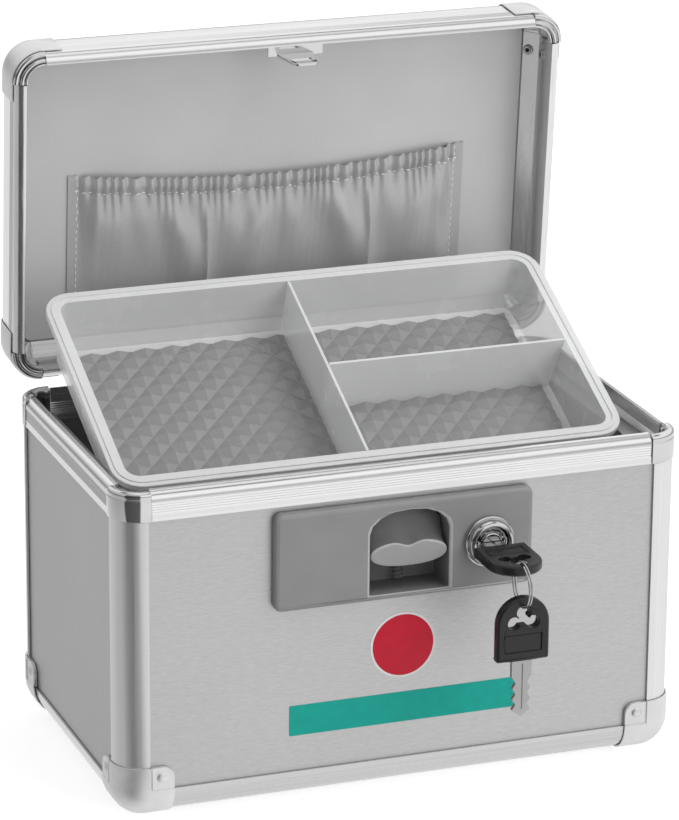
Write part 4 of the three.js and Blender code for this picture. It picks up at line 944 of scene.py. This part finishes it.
wire_end.matrix_world = (Matrix.Translation(ring_middle) @ Matrix.Rotation(math.radians(90), 4, "Y")
                         @ Matrix.Rotation(math.radians(200), 4, "Z"))
key_ring = finished(wire_end, "split_ring", "ring", steel, 40)
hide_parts("key_ring")
print("split ring", tuple(round(v * 1000, 1) for v in key_ring.dimensions))

# %% [markdown]
# A strip of green vinyl lies under the latch, with a red disc above it, both plain. Vinyl is thin, with
# cut edges and a little gloss.

# %% Lay the strip and the badge
PANEL_FACE = -87.5
VINYL = 0.24
STRIP_WIDTH, STRIP_HEIGHT, STRIP_Z = 122, 16.1, 40.95
BADGE_X, BADGE_Z = -0.5, 74.5


def vinyl(name, colour):
    paint, tree, shader, where = finish_named(name, colour, 0.38)
    film = stretched_noise(tree, where, (160, 160, 160))
    low = tuple(c * 0.94 for c in colour)
    high = tuple(min(1, c * 1.05) for c in colour)
    varied(tree, shader.inputs["Base Color"], film, low, high)
    varied(tree, shader.inputs["Roughness"], film, grey(0.42), grey(0.56))
    shader.inputs["Specular IOR Level"].default_value = 0.25
    bumped(tree, shader, film, 0.04, 0.0002)
    return paint


green_vinyl = vinyl("green_vinyl", (0.005, 0.33, 0.27))
red_vinyl = vinyl("red_vinyl", (0.52, 0.012, 0.034))
white_vinyl = vinyl("white_vinyl", (0.72, 0.70, 0.70))

bpy.ops.mesh.primitive_cube_add(size=1, location=mm(0, PANEL_FACE - VINYL / 2, STRIP_Z))
strip = bpy.context.object
strip.scale = mm(STRIP_WIDTH, VINYL, STRIP_HEIGHT)
settle(strip)
round_edges(strip, 0.6, 3, lambda at, way: abs(way.y) > 0.9)
finished(strip, "green_strip", "case", green_vinyl)

badge_place = Matrix.Translation(mm(BADGE_X, 0, BADGE_Z)) @ TO_FRONT
badge_edge = turned_piece([(0, 87.5), (17.4, 87.5), (17.6, 87.6), (17.5, 87.72), (0, 87.72)], 72)
badge_edge.matrix_world = badge_place
finished(badge_edge, "badge_border", "case", white_vinyl)
badge = turned_piece([(0, 87.72), (16.2, 87.72), (16.3, 87.85), (16.1, 87.95), (0, 87.95)], 72)
badge.matrix_world = badge_place
finished(badge, "badge_disc", "case", red_vinyl)
print("strip", tuple(round(v * 1000, 1) for v in strip.dimensions))

# %% [markdown]
# The lid's pocket is a strip of satin cloth, sewn to the lining along its sides and foot. Its upper hem
# holds elastic, which draws the cloth into small gathers, and below the stitch line the fullness falls in
# long soft folds. Each fold has its place in the photograph, so the cloth isn't simulated: a fine grid is
# shaped point by point, with a gentle billow, ridges for the folds and two creases.

# %% Gather the pocket cloth
POCKET_LEFT, POCKET_RIGHT = -115.0, 106.0
POCKET_TOP, POCKET_FOOT = -14.0, 69.0
LINING_FACE = 196.3
HEM = 0.105
GATHERS = 43
CLOTH = 0.35
# Each fold: where it starts along the elastic, how far it leans, its width, height and reach down.
FOLDS = (
    (0.06, 0.02, 0.026, 1.2, 0.4), (0.12, -0.02, 0.030, 1.6, 0.55), (0.18, 0.02, 0.026, 1.4, 0.5),
    (0.245, 0.10, 0.032, 2.4, 0.95), (0.40, -0.02, 0.030, 1.7, 0.6), (0.485, -0.08, 0.034, 2.3, 1.0),
    (0.555, 0.0, 0.028, 1.6, 0.6), (0.66, 0.10, 0.034, 2.6, 1.0), (0.81, -0.02, 0.028, 1.7, 0.5),
    (0.89, -0.07, 0.036, 2.0, 0.85), (0.945, -0.03, 0.02, 1.2, 0.4),
)
CREASES = ((0.338, 0.002, 0.016, 2.6), (0.752, -0.004, 0.018, 2.8))


def smooth_step(x):
    x = min(1.0, max(0.0, x))
    return x * x * (3 - 2 * x)


def gather_wave(u):
    return math.cos(math.tau * (GATHERS * u + 0.4 * math.sin(20.7 * u) + 0.3 * math.sin(49 * u + 1)))


def cloth_stand(u, v):
    """How far the cloth stands off the lining, in millimetres."""
    inner = smooth_step((min(u, 1 - u) - 0.02) / 0.05)
    hem_end = smooth_step((min(u, 1 - u) - 0.012) / 0.02)
    billow = (1.6 + 4.2 * math.sin(math.pi * min(1, 0.12 + v * 0.88)) ** 0.8) * (1 - v ** 6)
    stand = 0.7 + inner * billow
    strength = 1.0 if v < HEM else 0.8 * math.exp(-(v - HEM) / 0.08)
    stand += hem_end * 1.1 * strength * gather_wave(u)
    stand += hem_end * 0.9 * math.exp(-((v - 0.05) / 0.032) ** 2)
    stand -= hem_end * 0.8 * math.exp(-((v - HEM) / 0.012) ** 2)
    below = smooth_step((v - HEM) / 0.3)
    stand -= inner * below * 2.6
    for start, lean, width, rise, reach in FOLDS:
        off = (u - start - lean * (v - HEM)) / (width * (0.8 + 0.9 * v))
        stand += inner * below * 3.0 * rise * math.exp(-off * off) * (1 - smooth_step((v - 0.15) / reach))
    for start, lean, width, rise in CREASES:
        off = abs(u - start - lean * v) / width
        stand += inner * below * 2.2 * rise * math.exp(-off) * (1 - 0.4 * v)
    return max(0.5, stand)


def pocket_point(u, v, lift=0.0):
    """A point of the pocket with the lid closed, in millimetres: u across, v down from the elastic."""
    sag = 7.0 * math.sin(math.pi * u) ** 1.15
    top = POCKET_TOP + sag + 0.35 * gather_wave(u + 0.004)
    x = POCKET_LEFT + (POCKET_RIGHT - POCKET_LEFT) * u
    return mm(x, top + (POCKET_FOOT - top) * v, LINING_FACE - cloth_stand(u, v) - lift)


POCKET_ACROSS, POCKET_DOWN = 380, 64
bpy.ops.mesh.primitive_grid_add(x_subdivisions=POCKET_ACROSS, y_subdivisions=POCKET_DOWN, size=1)
pocket = bpy.context.object
for point in pocket.data.vertices:
    point.co = pocket_point(point.co.x + 0.5, 0.5 - point.co.y)
only(pocket)
cloth_wall = pocket.modifiers.new("cloth", "SOLIDIFY")
cloth_wall.thickness = CLOTH * MM
cloth_wall.offset = 0
bpy.ops.object.modifier_apply(modifier="cloth")
edit(pocket)
close_outward()
pocket.matrix_world = LID_TURN
finished(pocket, "lid_pocket_cloth", "lid", pocket_cloth, 80)
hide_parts("lid_pocket")
print("pocket has", len(pocket.data.polygons), "faces")

# %% [markdown]
# Three rows of pale thread show on the pocket: one under the elastic and one down each side. One stitch
# is modelled, a short thread that dips at its ends, and it is copied along the rows.

# %% Sew the stitches
bpy.ops.mesh.primitive_uv_sphere_add(segments=8, ring_count=6, radius=1)
stitch = bpy.context.object
stitch.scale = mm(1.3, 0.3, 0.3)
settle(stitch)
thread, thread_tree, thread_shader, thread_where = finish_named("pocket_thread", grey(0.86), 0.6)
fibres = stretched_noise(thread_tree, thread_where, (3000, 3000, 3000))
varied(thread_tree, thread_shader.inputs["Base Color"], fibres, grey(0.76), grey(0.92), 0.0, 1.0)
# Each stitch: where it lies across and down the pocket, and how it leans in degrees. On the left the
# upper ones wander a little.
ACROSS, DOWN = 60, 21
rows = [(0.022 + 0.956 * i / ACROSS, HEM, 0.9) for i in range(ACROSS + 1)]
for i in range(DOWN + 1):
    down = 0.02 + 0.95 * i / DOWN
    rows.append((0.021 + 0.003 * (i % 2) * (i < 8), down, 90))
    rows.append((0.975, down, 90))
stitches = []
for number, (u, v, lean) in enumerate(rows):
    at = pocket_point(u, v, 0.32)
    turn = Matrix.Rotation(math.radians(lean + (6 if number % 3 else -8)), 4, "Z")
    stitches.append(own_copy(stitch, "stitch", Matrix.Translation(at) @ turn))
bpy.data.objects.remove(stitch)
sewing = settle(joined(stitches))
sewing.matrix_world = LID_TURN
finished(sewing, "pocket_stitches", "lid", thread, 60)
print(len(rows), "stitches")

# %% [markdown]
# The tray is one vacuum-formed or injection-moulded shell of frosted clear plastic, with a rolled rim and
# loose dividers. Its floor is pressed into rows of small pyramids, so that tablets and strips don't cling.
# The pyramids start as a grid turned by 45 degrees: it is given a little depth, each square is poked and
# raised, and what reaches past the floor's edges is cut off.

# %% Tray with its pyramid floor
# The lifted tray: its tilt, a point on the line it turns about, and where it lies when level.
TRAY_TILT = math.radians(24.6)
TRAY_POLE = mm(0, -59.872, 212.851)
TRAY_SEAT = mm(-1.4, -1.25, 163.3)
TRAY_PLACE = (Matrix.Translation(TRAY_POLE) @ Matrix.Rotation(TRAY_TILT, 4, "X")
              @ Matrix.Translation(-TRAY_POLE) @ Matrix.Translation(TRAY_SEAT))
# Levels in the tray: the foot of its rim, the top of its front wall and the top of its floor.
RIM_FOOT, FRONT_TOP, FLOOR_TOP = -6, -3.4, -31.9
PYRAMID = 10.4
PYRAMID_RISE = 2.2
CELLS = 28
FLOOR_DEPTH = 0.25
FLOOR_HALF_WIDTH, FLOOR_HALF_DEPTH = 122.0, 58.0

TRAY_BACK = TRAY_PLACE.inverted()
shell = soft_edged("tray_shell", tray_plastic, smooth=35)
paint_faces(shell, tray_rim_plastic, lambda at, way: (TRAY_BACK @ (at * MM)).z > RIM_FOOT * MM)
# Painted light: the outside of the front wall gets the paler plastic, for its glow.
paint_faces(shell, tray_front_painted_glow, lambda at, way: (
    (TRAY_BACK.to_3x3() @ way).y < -0.6 and (TRAY_BACK @ (at * MM)).y < 0
    and (TRAY_BACK @ (at * MM)).z < FRONT_TOP * MM))
for node in ("long_divider", "cross_divider"):
    wall = soft_edged(node, divider_plastic, 0.25)
    paint_faces(wall, tray_rim_plastic, lambda at, way: (TRAY_BACK.to_3x3() @ way).z > 0.3)
bpy.ops.mesh.primitive_grid_add(x_subdivisions=CELLS, y_subdivisions=CELLS, size=1,
                                location=mm(0, 0, FLOOR_TOP + 0.05), rotation=(0, 0, math.radians(45)))
floor_cells = bpy.context.object
floor_cells.scale = mm(CELLS * PYRAMID, CELLS * PYRAMID, 1000)
settle(floor_cells)
edit(floor_cells)
bpy.ops.mesh.select_all(action="SELECT")
bpy.ops.mesh.extrude_region_move(TRANSFORM_OT_translate={"value": (0, 0, FLOOR_DEPTH * MM)})
bpy.ops.mesh.poke(offset=PYRAMID_RISE * MM)
for way in ((1, 0), (-1, 0), (0, 1), (0, -1)):
    bpy.ops.mesh.select_all(action="SELECT")
    reach = FLOOR_HALF_WIDTH if way[0] else FLOOR_HALF_DEPTH
    bpy.ops.mesh.bisect(plane_co=tuple(mm(way[0] * reach, way[1] * reach, 0)),
                        plane_no=(way[0], way[1], 0), use_fill=True, clear_outer=True)
close_outward()
floor_cells.matrix_world = TRAY_PLACE
finished(floor_cells, "tray_floor_pyramids", "tray", tray_floor_plastic, 5)
print(len(floor_cells.data.polygons), "faces on the tray's floor")

# %% [markdown]
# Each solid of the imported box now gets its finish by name.

# %% Give the solids their finishes
finishes = {}
for paint, nodes in (
    (sheet_across, "front_panel back_panel lid_panel"),
    # Painted shade: the end panels take the darker sheet.
    (sheet_along_shaded, "left_panel right_panel"),
    (sheet_flat, "bottom_panel"),
    (lining, "lid_lining"),
    (side_lining, "side_board_left side_board_right"),
    (pocket_cloth, "lid_pocket"),
    (latch_grey, "latch_plate"),
    (slide_grey, "latch_slide"),
    # Painted shade: the spring in the pocket takes the darker recess grey.
    (recess_painted_shade, "latch_spring"),
    (chrome, "lock_ring lock_cylinder strike_hook handle_bracket_left handle_bracket_right"),
    (steel, "lock_nut lock_key_blade spare_key_blade key_ring"),
    (key_black_and_socket_shade, "lock_key_head spare_key_head"),
    (handle_black, "handle_bail"),
    (tray_plastic, "tray_shell long_divider cross_divider"),
):
    for node in nodes.split():
        finishes[node] = paint
for side in ("front", "back"):
    for rail in ("bottom_rail_", "rim_rail_", "lid_rail_"):
        finishes[rail + side] = extrusion_x
for side in ("left", "right"):
    finishes["bottom_rail_" + side] = extrusion_y
    finishes["rim_rail_" + side] = extrusion_y
    finishes["lid_rail_" + side] = extrusion_z
    finishes["hinge_body_leaf_" + side] = steel
    finishes["hinge_lid_leaf_" + side] = steel
for corner in CORNERS:
    finishes["corner_post_" + corner] = extrusion_z
    finishes["rim_corner_" + corner] = chrome
    finishes["lid_corner_" + corner] = chrome
    finishes["foot_cap_" + corner] = casting

for node, solid in frame["nodes"].items():
    solid.data.materials.clear()
    solid.data.materials.append(finishes[node])
print(len(frame["nodes"]), "solids have a finish")
